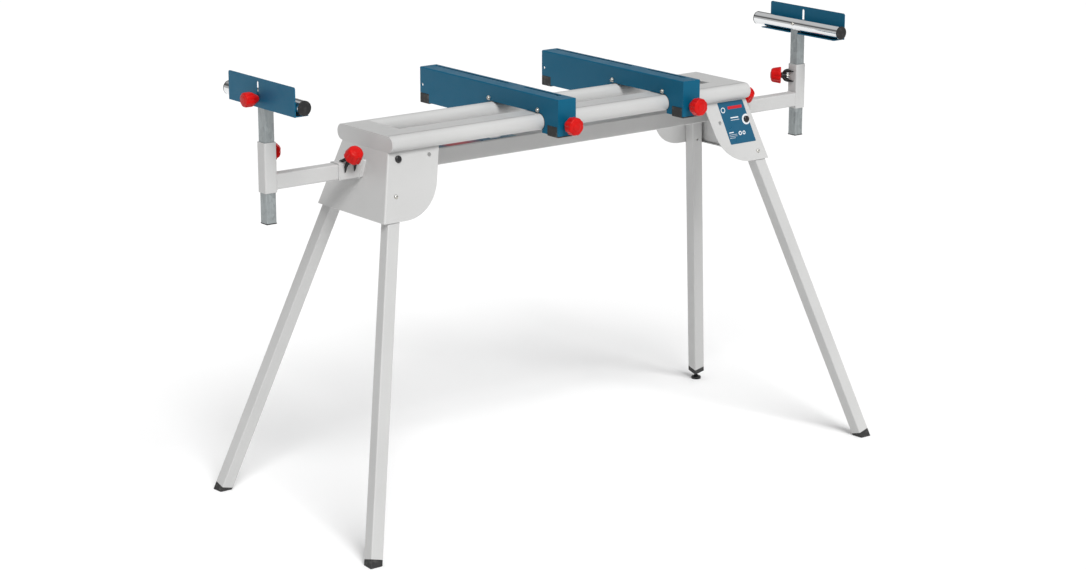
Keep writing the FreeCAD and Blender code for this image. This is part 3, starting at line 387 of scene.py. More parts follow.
def make_materials():
    c = colours()
    MATERIALS.update({
        "coat": powder_coat("Grey powder coat", c.coat, 0.40, 0.35),
        "blue": powder_coat("Blue powder coat", c.blue, 0.38, 0.55, Specular_IOR_Level=0.3,
                            Specular_Tint=(0.35, 0.75, 0.95, 1.0)),
        "zinc": galvanised("Galvanised steel", c.zinc),
        "bright": bright_zinc("Bright zinc", c.bright),
        "chrome": chrome_plate("Chrome plate", c.chrome),
        "red": moulded("Red moulding", c.red, 0.36, 1500.0, 0.00004, Specular_IOR_Level=0.32,
                       Specular_Tint=(1.0, 0.45, 0.4, 1.0)),
        "black": moulded("Black moulding", c.black, 0.42, 1300.0, 0.00006, 0.10, Specular_IOR_Level=0.35),
        "rubber": moulded("Black rubber", c.rubber, 0.66, 900.0, 0.00009, 0.22),
        "oxide": black_oxide("Black oxide"),
        "cheek_print": printed_film("Cheek plate print", cheek_plan),
        "tube_print": printed_film("Guide tube print", tube_plan),
        "floor": floor_finish("Studio floor", c.floor),
    })


# ------------------------------------------------------------------ meshes

def add_object(name, mesh):
    made = bpy.data.objects.new(name, mesh)
    bpy.context.scene.collection.objects.link(made)
    return made


def settle(name, source):
    """A plain mesh object in place of one with modifiers."""
    bpy.context.view_layer.update()
    evaluated = source.evaluated_get(bpy.context.evaluated_depsgraph_get())
    mesh = bpy.data.meshes.new_from_object(evaluated)
    mesh.name = name
    old = source.data
    bpy.data.objects.remove(source)
    if isinstance(old, bpy.types.Mesh):
        bpy.data.meshes.remove(old)
    return add_object(name, mesh)


def attach(obj, body, slot, *replaced):
    """Tie a finished piece to its body and hide the nodes that it stands for."""
    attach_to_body(obj, body)
    if replaced:
        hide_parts(*replaced)
    return obj


def body_of(node):
    """The moving body that a node belongs to."""
    return next(name for name, nodes in FRAME["record"]["behaviour"]["bodies"].items() if node in nodes)


def smooth_by_angle(mesh, degrees):
    """Shade smooth, but sharp where two faces meet at a larger angle."""
    work = bmesh.new()
    work.from_mesh(mesh)
    for face in work.faces:
        face.smooth = True
    for edge in work.edges:
        if len(edge.link_faces) == 2:
            edge.smooth = edge.calc_face_angle(0.0) < math.radians(degrees)
    work.to_mesh(mesh)
    work.free()


def soft_copy(node, piece, material, slot, width, segments=2, angle=27.0):
    """A copy of a node with its triangles merged into faces and its edges rounded."""
    mesh = FRAME["nodes"][node].data.copy()
    mesh.materials.clear()
    mesh.materials.append(material)
    work = bmesh.new()
    work.from_mesh(mesh)
    bmesh.ops.remove_doubles(work, verts=work.verts, dist=3e-6)
    bmesh.ops.dissolve_limit(work, angle_limit=math.radians(0.5), verts=work.verts, edges=work.edges)
    for face in work.faces:
        face.material_index = 0
        face.smooth = True
    work.to_mesh(mesh)
    work.free()
    source = add_object(piece + "_source", mesh)
    if width:
        bevel = source.modifiers.new("Rounding", "BEVEL")
        bevel.width = width
        bevel.segments = segments
        bevel.limit_method = "ANGLE"
        bevel.angle_limit = math.radians(angle)
        bevel.use_clamp_overlap = True
        bevel.harden_normals = True
    weighted = source.modifiers.new("Flats", "WEIGHTED_NORMAL")
    weighted.keep_sharp = False
    weighted.weight = 80
    return attach(settle(piece, source), body_of(node), slot, node)


# ------------------------------------------------------------------ geometry node trees

class Shape(Graph):
    """A geometry node tree with named inputs, run once on a holder object."""

    def __init__(self, name):
        super().__init__(bpy.data.node_groups.new(name, "GeometryNodeTree"))
        self.tree.is_modifier = True
        self.tree.interface.new_socket("Geometry", in_out="INPUT", socket_type="NodeSocketGeometry")
        self.tree.interface.new_socket("Geometry", in_out="OUTPUT", socket_type="NodeSocketGeometry")
        self.given = self.tree.nodes.new("NodeGroupInput")
        self.result = self.tree.nodes.new("NodeGroupOutput")

    def input(self, name, kind, value=None):
        socket = self.tree.interface.new_socket(name, in_out="INPUT", socket_type="NodeSocket" + kind)
        if value is not None:
            socket.default_value = value
        return self.given.outputs[name]

    def curve_of(self, value, points):
        """A value read off a line through the points."""
        made = self.node("ShaderNodeFloatCurve", {"Value": value})
        line = made.mapping.curves[0]
        while len(line.points) < len(points):
            line.points.new(0.5, 0.5)
        for point, place in zip(line.points, points):
            point.location = place
            point.handle_type = "VECTOR"
        made.mapping.update()
        return made.outputs["Value"]

    def profile(self, share, rows):
        """Radius and height along a turned profile from (share, radius, height) rows."""
        return (self.curve_of(share, [(at, radius) for at, radius, _ in rows]),
                self.curve_of(share, [(at, height) for at, _, height in rows]))

    def sheet(self, columns, rows):
        """A grid to wrap round Z, with each point's turn about it and share of the profile's run."""
        grid = self.node("GeometryNodeMeshGrid", {"Size X": 1.0, "Size Y": 1.0, "Vertices X": columns,
                                                  "Vertices Y": rows}).outputs["Mesh"]
        place = self.node("ShaderNodeSeparateXYZ",
                          {"Vector": self.node("GeometryNodeInputPosition").outputs[0]})
        turn = self.maths("MULTIPLY", self.maths("ADD", place.outputs["X"], 0.5), math.tau)
        return grid, turn, self.maths("ADD", place.outputs["Y"], 0.5)

    def wrapped(self, grid, turn, radius, height):
        """The sheet closed into a solid of revolution."""
        moved = self.node("ShaderNodeCombineXYZ", {
            "X": self.maths("MULTIPLY", radius, self.maths("COSINE", turn)),
            "Y": self.maths("MULTIPLY", radius, self.maths("SINE", turn)), "Z": height}).outputs[0]
        placed = self.node("GeometryNodeSetPosition", {"Geometry": grid, "Position": moved}).outputs[0]
        return self.node("GeometryNodeMergeByDistance", {"Geometry": placed, "Distance": 2e-6}).outputs[0]

    def end(self, geometry, material_input):
        realised = self.node("GeometryNodeRealizeInstances", {"Geometry": geometry}).outputs[0]
        painted = self.node("GeometryNodeSetMaterial", {"Geometry": realised, "Material": material_input})
        self.join(painted.outputs[0], self.result.inputs[0])

    def run(self, name, mesh=None, **values):
        """The tree's shape as a plain mesh, with the inputs set by their identifiers."""
        holder = add_object(name + "_holder", mesh or bpy.data.meshes.new(name + "_holder"))
        modifier = holder.modifiers.new("Shape", "NODES")
        modifier.node_group = self.tree
        identifiers = {item.name: item.identifier for item in self.tree.interface.items_tree
                       if item.item_type == "SOCKET" and item.in_out == "INPUT"}
        for key, value in values.items():
            modifier[identifiers[key.replace("_", " ")]] = value
        holder.update_tag()
        return settle(name, holder)


def grip_tree():
    """A lobed, tapered grip: a sheet wrapped round its axis, drawn in along each scallop."""
    t = Shape("Lobed grip")
    radius = t.input("Radius", "Float", 0.02)
    height = t.input("Height", "Float", 0.03)
    depth = t.input("Depth", "Float", 0.002)
    lobes = t.input("Lobes", "Int", 8)
    neck = t.input("Neck", "Float", 0.0)
    material = t.input("Material", "Material")
    grid, turn, share = t.sheet(161, 57)
    # Along the profile: underside, tapered side, rounded shoulder, domed end with its hub.
    clamp_r, clamp_h = t.profile(share, (
        (0.0, 0.0, 0.0), (0.17, 0.93, 0.0), (0.20, 0.985, 0.018), (0.235, 1.0, 0.06), (0.29, 0.99, 0.14),
        (0.60, 0.86, 0.72), (0.66, 0.82, 0.81), (0.71, 0.75, 0.88), (0.76, 0.64, 0.93), (0.81, 0.50, 0.955),
        (0.84, 0.40, 0.96), (0.87, 0.36, 1.0), (1.0, 0.0, 1.0)))
    neck_r, neck_h = t.profile(share, (
        (0.0, 0.0, 0.0), (0.10, 0.36, 0.0), (0.14, 0.42, 0.015), (0.17, 0.45, 0.04), (0.42, 0.93, 0.42),
        (0.46, 0.98, 0.47), (0.50, 1.0, 0.53), (0.72, 0.985, 0.88), (0.77, 0.955, 0.935),
        (0.81, 0.87, 0.97), (0.86, 0.72, 0.985), (0.89, 0.5, 0.98), (0.91, 0.46, 1.0), (1.0, 0.0, 1.0)))

    def either(first, second):
        """The clamp grip's value, or the necked grip's."""
        made = t.node("ShaderNodeMix", data_type="FLOAT")
        for index, value in ((0, neck), (2, first), (3, second)):
            t.join(value, made.inputs[index])
        return made.outputs[0]

    wave = t.maths("ABSOLUTE", t.maths("COSINE", t.maths("MULTIPLY", turn, t.maths("MULTIPLY", lobes, 0.5))))
    # The scallops fade out towards the domed outer end.
    clamp_cut = t.curve_of(share, ((0.0, 0.0), (0.12, 0.0), (0.21, 0.9), (0.40, 1.0), (0.58, 0.75),
                                   (0.70, 0.25), (0.78, 0.0), (1.0, 0.0)))
    neck_cut = t.curve_of(share, ((0.0, 0.0), (0.20, 0.0), (0.42, 0.8), (0.55, 1.0), (0.72, 0.8),
                                  (0.81, 0.35), (0.87, 0.0), (1.0, 0.0)))
    groove = t.maths("MULTIPLY", t.maths("POWER", wave, 5.0),
                     t.maths("MULTIPLY", either(clamp_cut, neck_cut), depth))
    out = t.maths("SUBTRACT", t.maths("MULTIPLY", either(clamp_r, neck_r), radius), groove)
    tall = t.maths("MULTIPLY", either(clamp_h, neck_h), height)
    t.end(t.wrapped(grid, turn, out, tall), material)
    return t


def prong_tree():
    """Four tapered prongs of a clip, swept from the screw's boss out and down both faces of a corner."""
    t = Shape("Clip prongs")
    radius = t.input("Radius", "Float", 0.004)
    material = t.input("Material", "Material")
    path = t.node("GeometryNodeMeshToCurve", {"Mesh": t.given.outputs["Geometry"]})
    smooth = t.node("GeometryNodeCurveSplineType", {"Curve": path.outputs[0]}, spline_type="CATMULL_ROM")
    fine = t.node("GeometryNodeResampleCurve", {"Curve": smooth.outputs[0], "Count": 34})
    share = t.node("GeometryNodeSplineParameter").outputs["Factor"]
    thick = t.curve_of(share, ((0.0, 1.0), (0.30, 1.0), (0.55, 0.84), (0.80, 0.50), (1.0, 0.20)))
    sized = t.node("GeometryNodeSetCurveRadius", {"Curve": fine.outputs[0], "Radius": thick})
    ring = t.node("GeometryNodeCurvePrimitiveCircle", {"Resolution": 12, "Radius": radius})
    swept = t.node("GeometryNodeCurveToMesh", {"Curve": sized.outputs[0], "Profile Curve": ring.outputs[0],
                                               "Fill Caps": True, "Scale": thick})
    merged = t.node("GeometryNodeMergeByDistance", {"Geometry": swept.outputs[0], "Distance": 1e-6})
    t.end(merged.outputs[0], material)
    return t


def aimed(t, points, shape):
    """Instances on points, their Z turned to each point's own direction."""
    direction = t.node("GeometryNodeInputNamedAttribute", {"Name": "aim"}, data_type="FLOAT_VECTOR")
    turned = t.node("FunctionNodeAlignRotationToVector", {"Vector": direction.outputs[0]}, axis="Z")
    return t.node("GeometryNodeInstanceOnPoints", {"Points": points, "Instance": shape,
                                                   "Rotation": turned.outputs[0]}).outputs[0]


def screw_tree():
    """Domed screw heads with a socket recess on washers, at points that carry their direction."""
    t = Shape("Screws and washers")
    head = t.input("Head", "Float", 0.0046)
    washer = t.input("Washer", "Float", 0.0064)
    material = t.input("Material", "Material")
    # The head is turned from a profile that dips into the driver's recess.
    grid, turn, share = t.sheet(37, 26)
    radius, rise = t.profile(share, (
        (0.0, 0.9, 0.0), (0.10, 1.0, 0.0), (0.30, 1.0, 0.45), (0.42, 0.93, 0.66), (0.55, 0.75, 0.86),
        (0.66, 0.52, 0.96), (0.70, 0.46, 0.97), (0.72, 0.44, 0.92), (0.90, 0.42, 0.42), (1.0, 0.0, 0.40)))
    tall = t.maths("ADD", t.maths("MULTIPLY", rise, t.maths("MULTIPLY", head, 1.05)), 0.0011)
    dome = t.wrapped(grid, turn, t.maths("MULTIPLY", radius, head), tall)
    disc = t.node("GeometryNodeMeshCylinder", {"Vertices": 36, "Radius": washer, "Depth": 0.0012})
    lifted = t.node("GeometryNodeTransform", {"Geometry": disc.outputs["Mesh"],
                                              "Translation": (0.0, 0.0, 0.0006)})
    both = t.node("GeometryNodeJoinGeometry")
    t.join(dome, both.inputs[0])
    t.join(lifted.outputs[0], both.inputs[0])
    t.end(aimed(t, t.given.outputs["Geometry"], both.outputs[0]), material)
    return t


def weld_tree():
    """A run of overlapping ripples along a path, each a little different."""
    t = Shape("Weld bead")
    radius = t.input("Radius", "Float", 0.0015)
    seed = t.input("Seed", "Int", 4)
    material = t.input("Material", "Material")
    path = t.node("GeometryNodeMeshToCurve", {"Mesh": t.given.outputs["Geometry"]})
    dots = t.node("GeometryNodeCurveToPoints", {"Curve": path.outputs[0], "Length": 0.0011}, mode="LENGTH")
    ripple = t.node("GeometryNodeMeshUVSphere", {"Segments": 10, "Rings": 6, "Radius": radius})
    scale = t.node("FunctionNodeRandomValue", {2: 0.82, 3: 1.12, "Seed": seed}, data_type="FLOAT")
    beads = t.node("GeometryNodeInstanceOnPoints", {
        "Points": dots.outputs[0], "Instance": ripple.outputs["Mesh"], "Scale": scale.outputs[1]})
    t.end(beads.outputs[0], material)
    return t


def points_mesh(name, places):
    """Loose points, each with the direction its fixing faces."""
    mesh = bpy.data.meshes.new(name)
    mesh.from_pydata([place for place, _ in places], [], [])
    aim = mesh.attributes.new("aim", "FLOAT_VECTOR", "POINT")
    for index, (_, direction) in enumerate(places):
        aim.data[index].vector = direction
    return mesh


def path_mesh(name, runs):
    """Runs of points, each joined up by edges."""
    points, edges = [], []
    for run in runs:
        first = len(points)
        points += run
        edges += [(first + i, first + i + 1) for i in range(len(run) - 1)]
    mesh = bpy.data.meshes.new(name)
    mesh.from_pydata(points, edges, [])
    return mesh


def joined(name, parts):
    """One object from several, keeping their materials."""
    work = bmesh.new()
    materials = []
    for part in parts:
        piece = part.data
        index = {}
        for i, material in enumerate(piece.materials):
            if material not in materials:
                materials.append(material)
            index[i] = materials.index(material)
        before = len(work.faces)
        work.from_mesh(piece)
        work.faces.ensure_lookup_table()
        for face in work.faces[before:]:
            face.material_index = index.get(face.material_index, 0)
    mesh = bpy.data.meshes.new(name)
    work.to_mesh(mesh)
    work.free()
    for material in materials:
        mesh.materials.append(material)
    for part in parts:
        old = part.data
        bpy.data.objects.remove(part)
        bpy.data.meshes.remove(old)
    return add_object(name, mesh)


def turned(name, profile, material, segments=48):
    """A closed solid of revolution about Z from (radius, height) pairs in metres."""
    work = bmesh.new()
    rings = []
    for radius, height in profile:
        if radius < 1e-7:
            rings.append([work.verts.new((0.0, 0.0, height))])
            continue
        rings.append([work.verts.new((radius * math.cos(a), radius * math.sin(a), height))
                      for a in (math.tau * i / segments for i in range(segments))])
    for low, high in zip(rings, rings[1:]):
        for i in range(segments):
            j = (i + 1) % segments
            corners = [low[i % len(low)], low[j % len(low)], high[j % len(high)], high[i % len(high)]]
            corners = list(dict.fromkeys(corners))
            if len(corners) > 2:
                work.faces.new(corners)
    bmesh.ops.recalc_face_normals(work, faces=work.faces)
    mesh = bpy.data.meshes.new(name)
    work.to_mesh(mesh)
    work.free()
    mesh.materials.append(material)
    smooth_by_angle(mesh, 38.0)
    return add_object(name, mesh)


def stand_up(obj, place, axis):
    """Move a piece made along Z to its place and direction, in its mesh."""
    rotation = Vector(axis).to_track_quat("Z", "Y").to_matrix().to_4x4()
    obj.data.transform(Matrix.Translation(place) @ rotation)
    return obj


# ------------------------------------------------------------------ operators

class STAND_OT_finish_metalwork(bpy.types.Operator):
    """Round and coat the sheet, tube and bar of the stand"""

    bl_idname = "stand.finish_metalwork"
    bl_label = "Finish the metalwork"

    def execute(self, context):
        edge = sizes().sheet_edge
        coat, blue = MATERIALS["coat"], MATERIALS["blue"]
        for node in ("rail_front", "rail_rear", "top_plate", "guide_tube", "housing_left", "housing_right"):
            soft_copy(node, node + "_coated", coat, "grey_paint", edge)
        for side, _ in SIDES:
            for node in ("arm_" + side, "post_sleeve_" + side):
                soft_copy(node, node + "_coated", coat, "grey_paint", edge)
            for node in ("machine_bracket_" + side, "stop_plate_" + side):
                soft_copy(node, node + "_coated", blue, "blue_paint", edge)
            soft_copy("post_" + side, f"post_{side}_zinc", MATERIALS["zinc"], "galvanised_steel", edge)
            soft_copy("support_bar_" + side, f"support_bar_{side}_chrome", MATERIALS["chrome"],
                      "chrome_bar", edge * 0.5)
            for depth, _ in DEPTHS:
                tag = f"{side}_{depth}"
                soft_copy("leg_" + tag, f"leg_{tag}_coated", coat, "grey_paint", edge)
                soft_copy("snap_button_" + tag, f"snap_button_{tag}_zinc", MATERIALS["bright"],
                          "zinc_steel", 0.0)
                soft_copy("button_spring_" + tag, f"button_spring_{tag}_zinc", MATERIALS["bright"],
                          "zinc_steel", 0.0001)
        soft_copy("hinge_bolts", "hinge_bolts_black", MATERIALS["oxide"], "black_steel", 0.0)
        return {"FINISHED"}


class STAND_OT_finish_mouldings(bpy.types.Operator):
    """Round and grain the rubber feet, caps, plugs, liners and jaws"""

    bl_idname = "stand.finish_mouldings"
    bl_label = "Finish the mouldings"

    def execute(self, context):
        edge = sizes().moulded_edge
        black, rubber = MATERIALS["black"], MATERIALS["rubber"]
        for side, _ in SIDES:
            soft_copy("post_plug_" + side, f"post_plug_{side}_moulded", black, "black_plastic", edge * 0.6)
            soft_copy("bar_caps_" + side, f"bar_caps_{side}_moulded", black, "black_plastic", 0.0)
            soft_copy("clamp_jaw_" + side, f"clamp_jaw_{side}_moulded", black, "black_plastic", edge)
            soft_copy("bracket_liners_" + side, f"bracket_liners_{side}_moulded", black,
                      "black_plastic", edge * 0.25)
            soft_copy("bracket_feet_" + side, f"bracket_feet_{side}_rubber", rubber, "black_rubber",
                      edge * 1.6, segments=3)
            for depth, _ in DEPTHS:
                tag = f"{side}_{depth}"
                soft_copy("foot_cap_" + tag, f"foot_cap_{tag}_rubber", rubber, "black_rubber", edge)
        soft_copy("levelling_foot", "levelling_foot_moulded", black, "black_plastic", 0.0)
        return {"FINISHED"}


# Places on the stand that several pieces share.
ARM_CLAMP_X, GUIDE_HALF_DEEP, GUIDE_TOP_Z = 0.565, 0.0165, 0.8025
POST_X, SLEEVE_HALF, POST_CLAMP_Z = 0.762, 0.015, 0.840
BRACKET_X = {"left": -0.079, "right": 0.285}


def arm_clamp(end):
    """The guide tube's edge where the arm's clamp screw goes in, and the way it points."""
    return Vector((ARM_CLAMP_X * end, -GUIDE_HALF_DEEP, GUIDE_TOP_Z)), Vector((0, -1, 1)).normalized()


def post_clamp(end):
    """The sleeve's edge where the post's clamp screw goes in, and the way it points."""
    return (Vector((POST_X * end - SLEEVE_HALF * end, SLEEVE_HALF, POST_CLAMP_Z)),
            Vector((-end, 1, 0)).normalized())


class STAND_OT_make_grips(bpy.types.Operator):
    """Make the lobed red grips with their screws and collars"""

    bl_idname = "stand.make_grips"
    bl_label = "Make the grips"

    def execute(self, context):
        s = sizes()
        tree = grip_tree()
        for side, end in SIDES:
            knobs = (
                (f"arm_knob_{side}", *arm_clamp(end), "clamp"),
                (f"post_knob_{side}", *post_clamp(end), "clamp"),
                (f"stop_knob_{side}", (POST_X * end + 0.0188 * end, 0.0, 0.965), (end, 0, 0), "stop"),
                (f"bracket_knob_{side}", (BRACKET_X[side], -0.1575, 0.847), (0, -1, 0), "bracket"),
            )
            for node, base, axis, kind in knobs:
                self.make(tree, s, node, base, axis, kind)
        return {"FINISHED"}

    def make(self, tree, s, node, base, axis, kind):
        clamp = kind == "clamp"
        radius = {"clamp": s.grip_radius, "stop": 0.0160, "bracket": s.thrust_radius}[kind]
        height = s.grip_height if clamp else 0.036
        start = 0.017 if clamp else 0.0
        grip = tree.run(node + "_grip", Radius=radius, Height=height, Lobes=s.grip_lobes,
                        Depth=s.grip_depth * radius / s.grip_radius, Neck=0.0 if clamp else 1.0,
                        Material=MATERIALS["red"])
        grip.data.transform(Matrix.Translation((0.0, 0.0, start)))
        smooth_by_angle(grip.data, 60.0)
        low = {"clamp": -0.004, "stop": -0.012, "bracket": -0.047}[kind]
        screw = turned(node + "_screw", ((0.0, low), (0.0034, low), (0.0040, low + 0.0008),
                                         (0.0040, start + 0.004), (0.0, start + 0.004)), MATERIALS["bright"])
        parts = [grip, screw]
        if clamp:
            parts.append(turned(node + "_collar", (
                (0.0041, 0.0163), (0.0062, 0.0163), (0.0066, 0.0166), (0.0066, 0.0172), (0.0041, 0.0172),
                (0.0041, 0.0163)), MATERIALS["red"]))
        attach(stand_up(joined(node + "_moulded", parts), base, axis), body_of(node), "red_plastic", node)


class STAND_OT_make_clips(bpy.types.Operator):
    """Make the four-pronged clips astride the tube corners"""

    bl_idname = "stand.make_clips"
    bl_label = "Make the clips"

    def execute(self, context):
        tree = prong_tree()
        for side, end in SIDES:
            self.make(tree, f"arm_clip_{side}", Vector((1, 0, 0)), *arm_clamp(end))
            self.make(tree, f"post_clip_{side}", Vector((0, 0, 1)), *post_clamp(end))
        return {"FINISHED"}

    def make(self, tree, node, along, corner, out):
        s = sizes()
        across = out.cross(along)
        parts = []
        half = math.sqrt(0.5)
        for way in (-1, 1):
            for face in (-1, 1):
                gap = way * s.prong_gap
                run = [(0.25 * gap, 0.0, 0.0105), (0.55 * gap, face * 0.0025, 0.0092),
                       (0.86 * gap, face * 0.0052, 0.0046), (gap, face * 0.0088, -0.0040),
                       (gap, face * 0.0125, -0.0086), (gap, face * (s.prong_reach * half + 0.0006),
                                                       -s.prong_reach * half + 0.0006)]
                path = path_mesh(node + "_run", [run])
                parts.append(tree.run(f"{node}_prong", mesh=path, Radius=s.prong_thick,
                                      Material=MATERIALS["black"]))
        parts.append(turned(node + "_boss", (
            (0.0042, 0.0022), (0.0060, 0.0030), (0.0068, 0.0070), (0.0064, 0.0115), (0.0074, 0.0138),
            (0.0074, 0.0154), (0.0068, 0.0160), (0.0042, 0.0160), (0.0042, 0.0022)), MATERIALS["black"]))
        piece = joined(node + "_moulded", parts)
        piece.data.transform(Matrix.Translation(corner)
                             @ Matrix((along, across, out)).transposed().to_4x4())
        smooth_by_angle(piece.data, 50.0)
        attach(piece, body_of(node), "black_plastic", node)


class STAND_OT_make_fixings(bpy.types.Operator):
    """Set the screws in the brackets' sides and in the support bars"""

    bl_idname = "stand.make_fixings"
    bl_label = "Make the fixings"

    def execute(self, context):
        s = sizes()
        tree = screw_tree()
        for side, end in SIDES:
            places = [((BRACKET_X[side] + way * 0.025, y, 0.8715), (way, 0, 0))
                      for way in (-1, 1) for y in (-0.0835, 0.100)]
            self.make(tree, f"bracket_screws_{side}", "bracket_" + side, places, s.screw_radius,
                      s.washer_radius)
            bar_face = [((POST_X * end - end * 0.0155, 0.002, 0.9688), (-end, 0, 0.24))]
            self.make(tree, f"post_screw_{side}", "post_" + side, bar_face, 0.0030, 0.0038)
        return {"FINISHED"}

    def make(self, tree, name, body, places, head, washer):
        piece = tree.run(name, mesh=points_mesh(name, places), Head=head, Washer=washer,
                         Material=MATERIALS["bright"])
        smooth_by_angle(piece.data, 38.0)
        attach(piece, body, "zinc_steel")


class STAND_OT_make_welds(bpy.types.Operator):
    """Lay the weld beads between arms and sleeves and round the guide tube"""

    bl_idname = "stand.make_welds"
    bl_label = "Make the welds"

    def execute(self, context):
        s = sizes()
        tree = weld_tree()
        for side, end in SIDES:
            sleeve = self.outline(POST_X * end - 0.0152 * end, 0.0, 0.0136, 0.7672, 0.7998)
            self.lay(tree, f"sleeve_weld_{side}", "arm_" + side, sleeve, s.bead_radius * 0.8, 4)
            guide = self.outline(0.5295 * end, 0.285 * 0.038 * end, 0.0168, 0.7643, 0.8027)
            self.lay(tree, f"guide_weld_{side}", "frame", guide, s.bead_radius * 0.8, 9)
        return {"FINISHED"}

    def outline(self, x, lean, y, low, high):
        """Round a tube where it meets a face across it; the face may lean outwards at the bottom."""
        below, above = x + lean, x
        return [[(below, -y, low), (above, -y, high)], [(below, y, low), (above, y, high)],
                [(above, -y, high), (above, y, high)], [(below, -y, low), (below, y, low)]]

    def lay(self, tree, name, body, runs, radius, seed):
        piece = tree.run(name, mesh=path_mesh(name, runs), Radius=radius, Seed=seed,
                         Material=MATERIALS["coat"])
        for face in piece.data.polygons:
            face.use_smooth = True
        attach(piece, body, "grey_paint")


class STAND_OT_make_prints(bpy.types.Operator):
    """Lay the printed plates on the right cheek and on the guide tube"""

    bl_idname = "stand.make_prints"
    bl_label = "Make the prints"

    def execute(self, context):
        # The cheek leans back by the legs' splay; heights along it start at base.
        lean = math.radians(15.9)
        along = Vector((1, 0, 0))
        up = Vector((0, math.sin(lean), math.cos(lean)))
        out = Vector((0, -math.cos(lean), math.sin(lean)))
        base = Vector((0, -0.0899, 0.8278))
        low, high = (0.727 - base.z) / math.cos(lean), (0.8252 - base.z) / math.cos(lean)
        corners = ((0.4445, low), (0.5235, low), (0.5015, high), (0.4225, high))
        self.plate("cheek_plate", "frame", corners, (base, along, up, out), MATERIALS["cheek_print"],
                   (0.4225, low))
        left, right, half = -0.325, -0.110, 0.0135
        strip = ((left, -half), (right, -half), (right, half), (left, half))
        top = (Vector((0, 0, GUIDE_TOP_Z)), along, Vector((0, 1, 0)), Vector((0, 0, 1)))
        self.plate("tube_strip", "frame", strip, top, MATERIALS["tube_print"], (left, -half))
        return {"FINISHED"}

    def plate(self, name, body, corners, axes, material, start):
        """A thin plate with rounded corners; its map starts at the given corner."""
        base, along, up, out = axes
        outline = []
        count = len(corners)
        for i, corner in enumerate(corners):
            here = Vector(corner)
            before = (Vector(corners[i - 1]) - here).normalized() * 0.0022
            after = (Vector(corners[(i + 1) % count]) - here).normalized() * 0.0022
            for step in range(7):
                t = step / 6
                outline.append(here + before * (1 - t) ** 2 + after * t ** 2)
        work = bmesh.new()
        ring = [work.verts.new(base + along * p.x + up * p.y + out * 0.00005) for p in outline]
        face = work.faces.new(ring)
        bmesh.ops.triangulate(work, faces=[face])
        flat = list(work.faces)
        grown = bmesh.ops.extrude_face_region(work, geom=flat)
        moved = [item for item in grown["geom"] if isinstance(item, bmesh.types.BMVert)]
        bmesh.ops.translate(work, verts=moved, vec=out * 0.00022)
        bmesh.ops.recalc_face_normals(work, faces=work.faces)
        layer = work.loops.layers.uv.new("Plate")
        for face in work.faces:
            for loop in face.loops:
                offset = loop.vert.co - base
                loop[layer].uv = (offset.dot(along) - start[0], offset.dot(up) - start[1])
        mesh = bpy.data.meshes.new(name)
        work.to_mesh(mesh)
        work.free()
        mesh.materials.append(material)
        attach(add_object(name, mesh), body, "blue_paint")


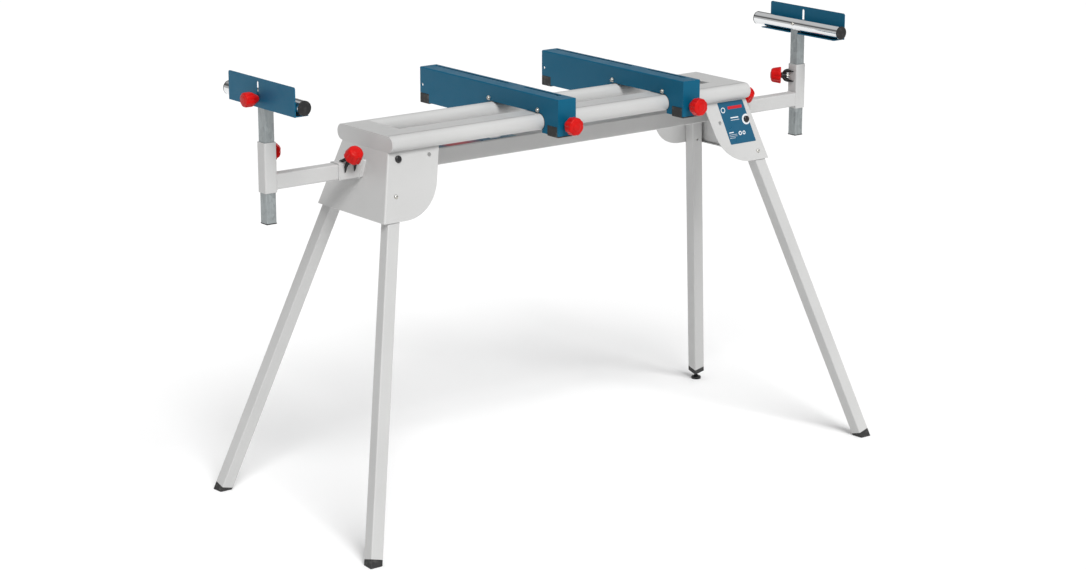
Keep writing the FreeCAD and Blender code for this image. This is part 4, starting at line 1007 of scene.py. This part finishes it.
class STAND_OT_make_studio(bpy.types.Operator):
    """Lay the pale floor and set the lamps and the camera"""

    bl_idname = "stand.make_studio"
    bl_label = "Make the studio"

    def execute(self, context):
        studio = context.scene.stand_studio
        self.floor()
        self.surroundings(context.scene, studio.ambient)
        self.lamp(studio)
        self.camera(context.scene, studio)
        context.scene.view_settings.view_transform = "Standard"
        return {"FINISHED"}

    def floor(self):
        work = bmesh.new()
        bmesh.ops.create_grid(work, x_segments=24, y_segments=24, size=30.0)
        mesh = bpy.data.meshes.new("studio_floor")
        work.to_mesh(mesh)
        work.free()
        mesh.materials.append(MATERIALS["floor"])
        add_object("studio_floor", mesh)

    def surroundings(self, scene, strength):
        """A bright room with a dimmer belt between the floor's horizon and the ceiling."""
        world = bpy.data.worlds.new("Studio")
        world.use_nodes = True
        g = Graph(world.node_tree)
        direction = g.node("ShaderNodeTexCoord").outputs["Generated"]
        height = g.node("ShaderNodeSeparateXYZ", {"Vector": direction}).outputs["Z"]
        ramp = g.node("ShaderNodeValToRGB", {"Fac": height})
        stops = ((0.0, 1.0), (0.20, 1.2), (0.30, 0.25), (0.46, 0.25), (0.58, 1.3), (1.0, 1.3))
        band = ramp.color_ramp.elements
        while len(band) < len(stops):
            band.new(0.5)
        for element, (place, value) in zip(band, stops):
            element.position = place
            element.color = (value, value, value, 1.0)
        back = world.node_tree.nodes["Background"]
        g.join(ramp.outputs["Color"], back.inputs["Color"])
        back.inputs["Strength"].default_value = strength
        scene.world = world

    def lamp(self, studio):
        light = bpy.data.lights.new("Key lamp", "SUN")
        light.energy = studio.key
        light.angle = studio.softness
        lamp = bpy.data.objects.new("Key lamp", light)
        bpy.context.scene.collection.objects.link(lamp)
        lamp.rotation_euler = Vector((0.20, 0.66, -0.72)).to_track_quat("-Z", "Y").to_euler()

    def camera(self, scene, studio):
        turn, pitch = studio.azimuth, studio.pitch
        back = Vector((math.sin(turn) * math.cos(pitch), -math.cos(turn) * math.cos(pitch), math.sin(pitch)))
        right = (-back).cross(Vector((0, 0, 1))).normalized()
        up = right.cross(-back)
        data = bpy.data.cameras.new("Camera")
        data.lens = studio.lens
        data.sensor_width = 36.0
        data.clip_end = 100.0
        camera = bpy.data.objects.new("Camera", data)
        scene.collection.objects.link(camera)
        camera.location = (Vector((0, 0, studio.centre_height)) + back * studio.distance
                           + right * studio.aside + up * studio.rise)
        camera.rotation_euler = (-back).to_track_quat("-Z", "Y").to_euler()
        scene.camera = camera


OPERATORS = (STAND_OT_finish_metalwork, STAND_OT_finish_mouldings, STAND_OT_make_grips, STAND_OT_make_clips,
             STAND_OT_make_fixings, STAND_OT_make_welds, STAND_OT_make_prints, STAND_OT_make_studio)


class STAND_PT_panel(bpy.types.Panel):
    """Lists the steps that finish the stand"""

    bl_idname = "STAND_PT_panel"
    bl_label = "Folding machine stand"
    bl_space_type = "VIEW_3D"
    bl_region_type = "UI"
    bl_category = "Stand"

    def draw(self, context):
        for operator in OPERATORS:
            self.layout.operator(operator.bl_idname)
        for group in (context.scene.stand_sizes, context.scene.stand_colours, context.scene.stand_studio):
            box = self.layout.box()
            for name in type(group).__annotations__:
                box.prop(group, name)


CLASSES = (StandSizes, StandColours, StudioSettings, *OPERATORS, STAND_PT_panel)


def register():
    for cls in CLASSES:
        bpy.utils.register_class(cls)
    bpy.types.Scene.stand_sizes = PointerProperty(type=StandSizes)
    bpy.types.Scene.stand_colours = PointerProperty(type=StandColours)
    bpy.types.Scene.stand_studio = PointerProperty(type=StudioSettings)


def unregister():
    del bpy.types.Scene.stand_studio
    del bpy.types.Scene.stand_colours
    del bpy.types.Scene.stand_sizes
    for cls in reversed(CLASSES):
        bpy.utils.unregister_class(cls)


def main():
    register()
    make_materials()
    for operator in OPERATORS:
        group, name = operator.bl_idname.split(".")
        getattr(getattr(bpy.ops, group), name)()


if __name__ == "__main__":
    main()
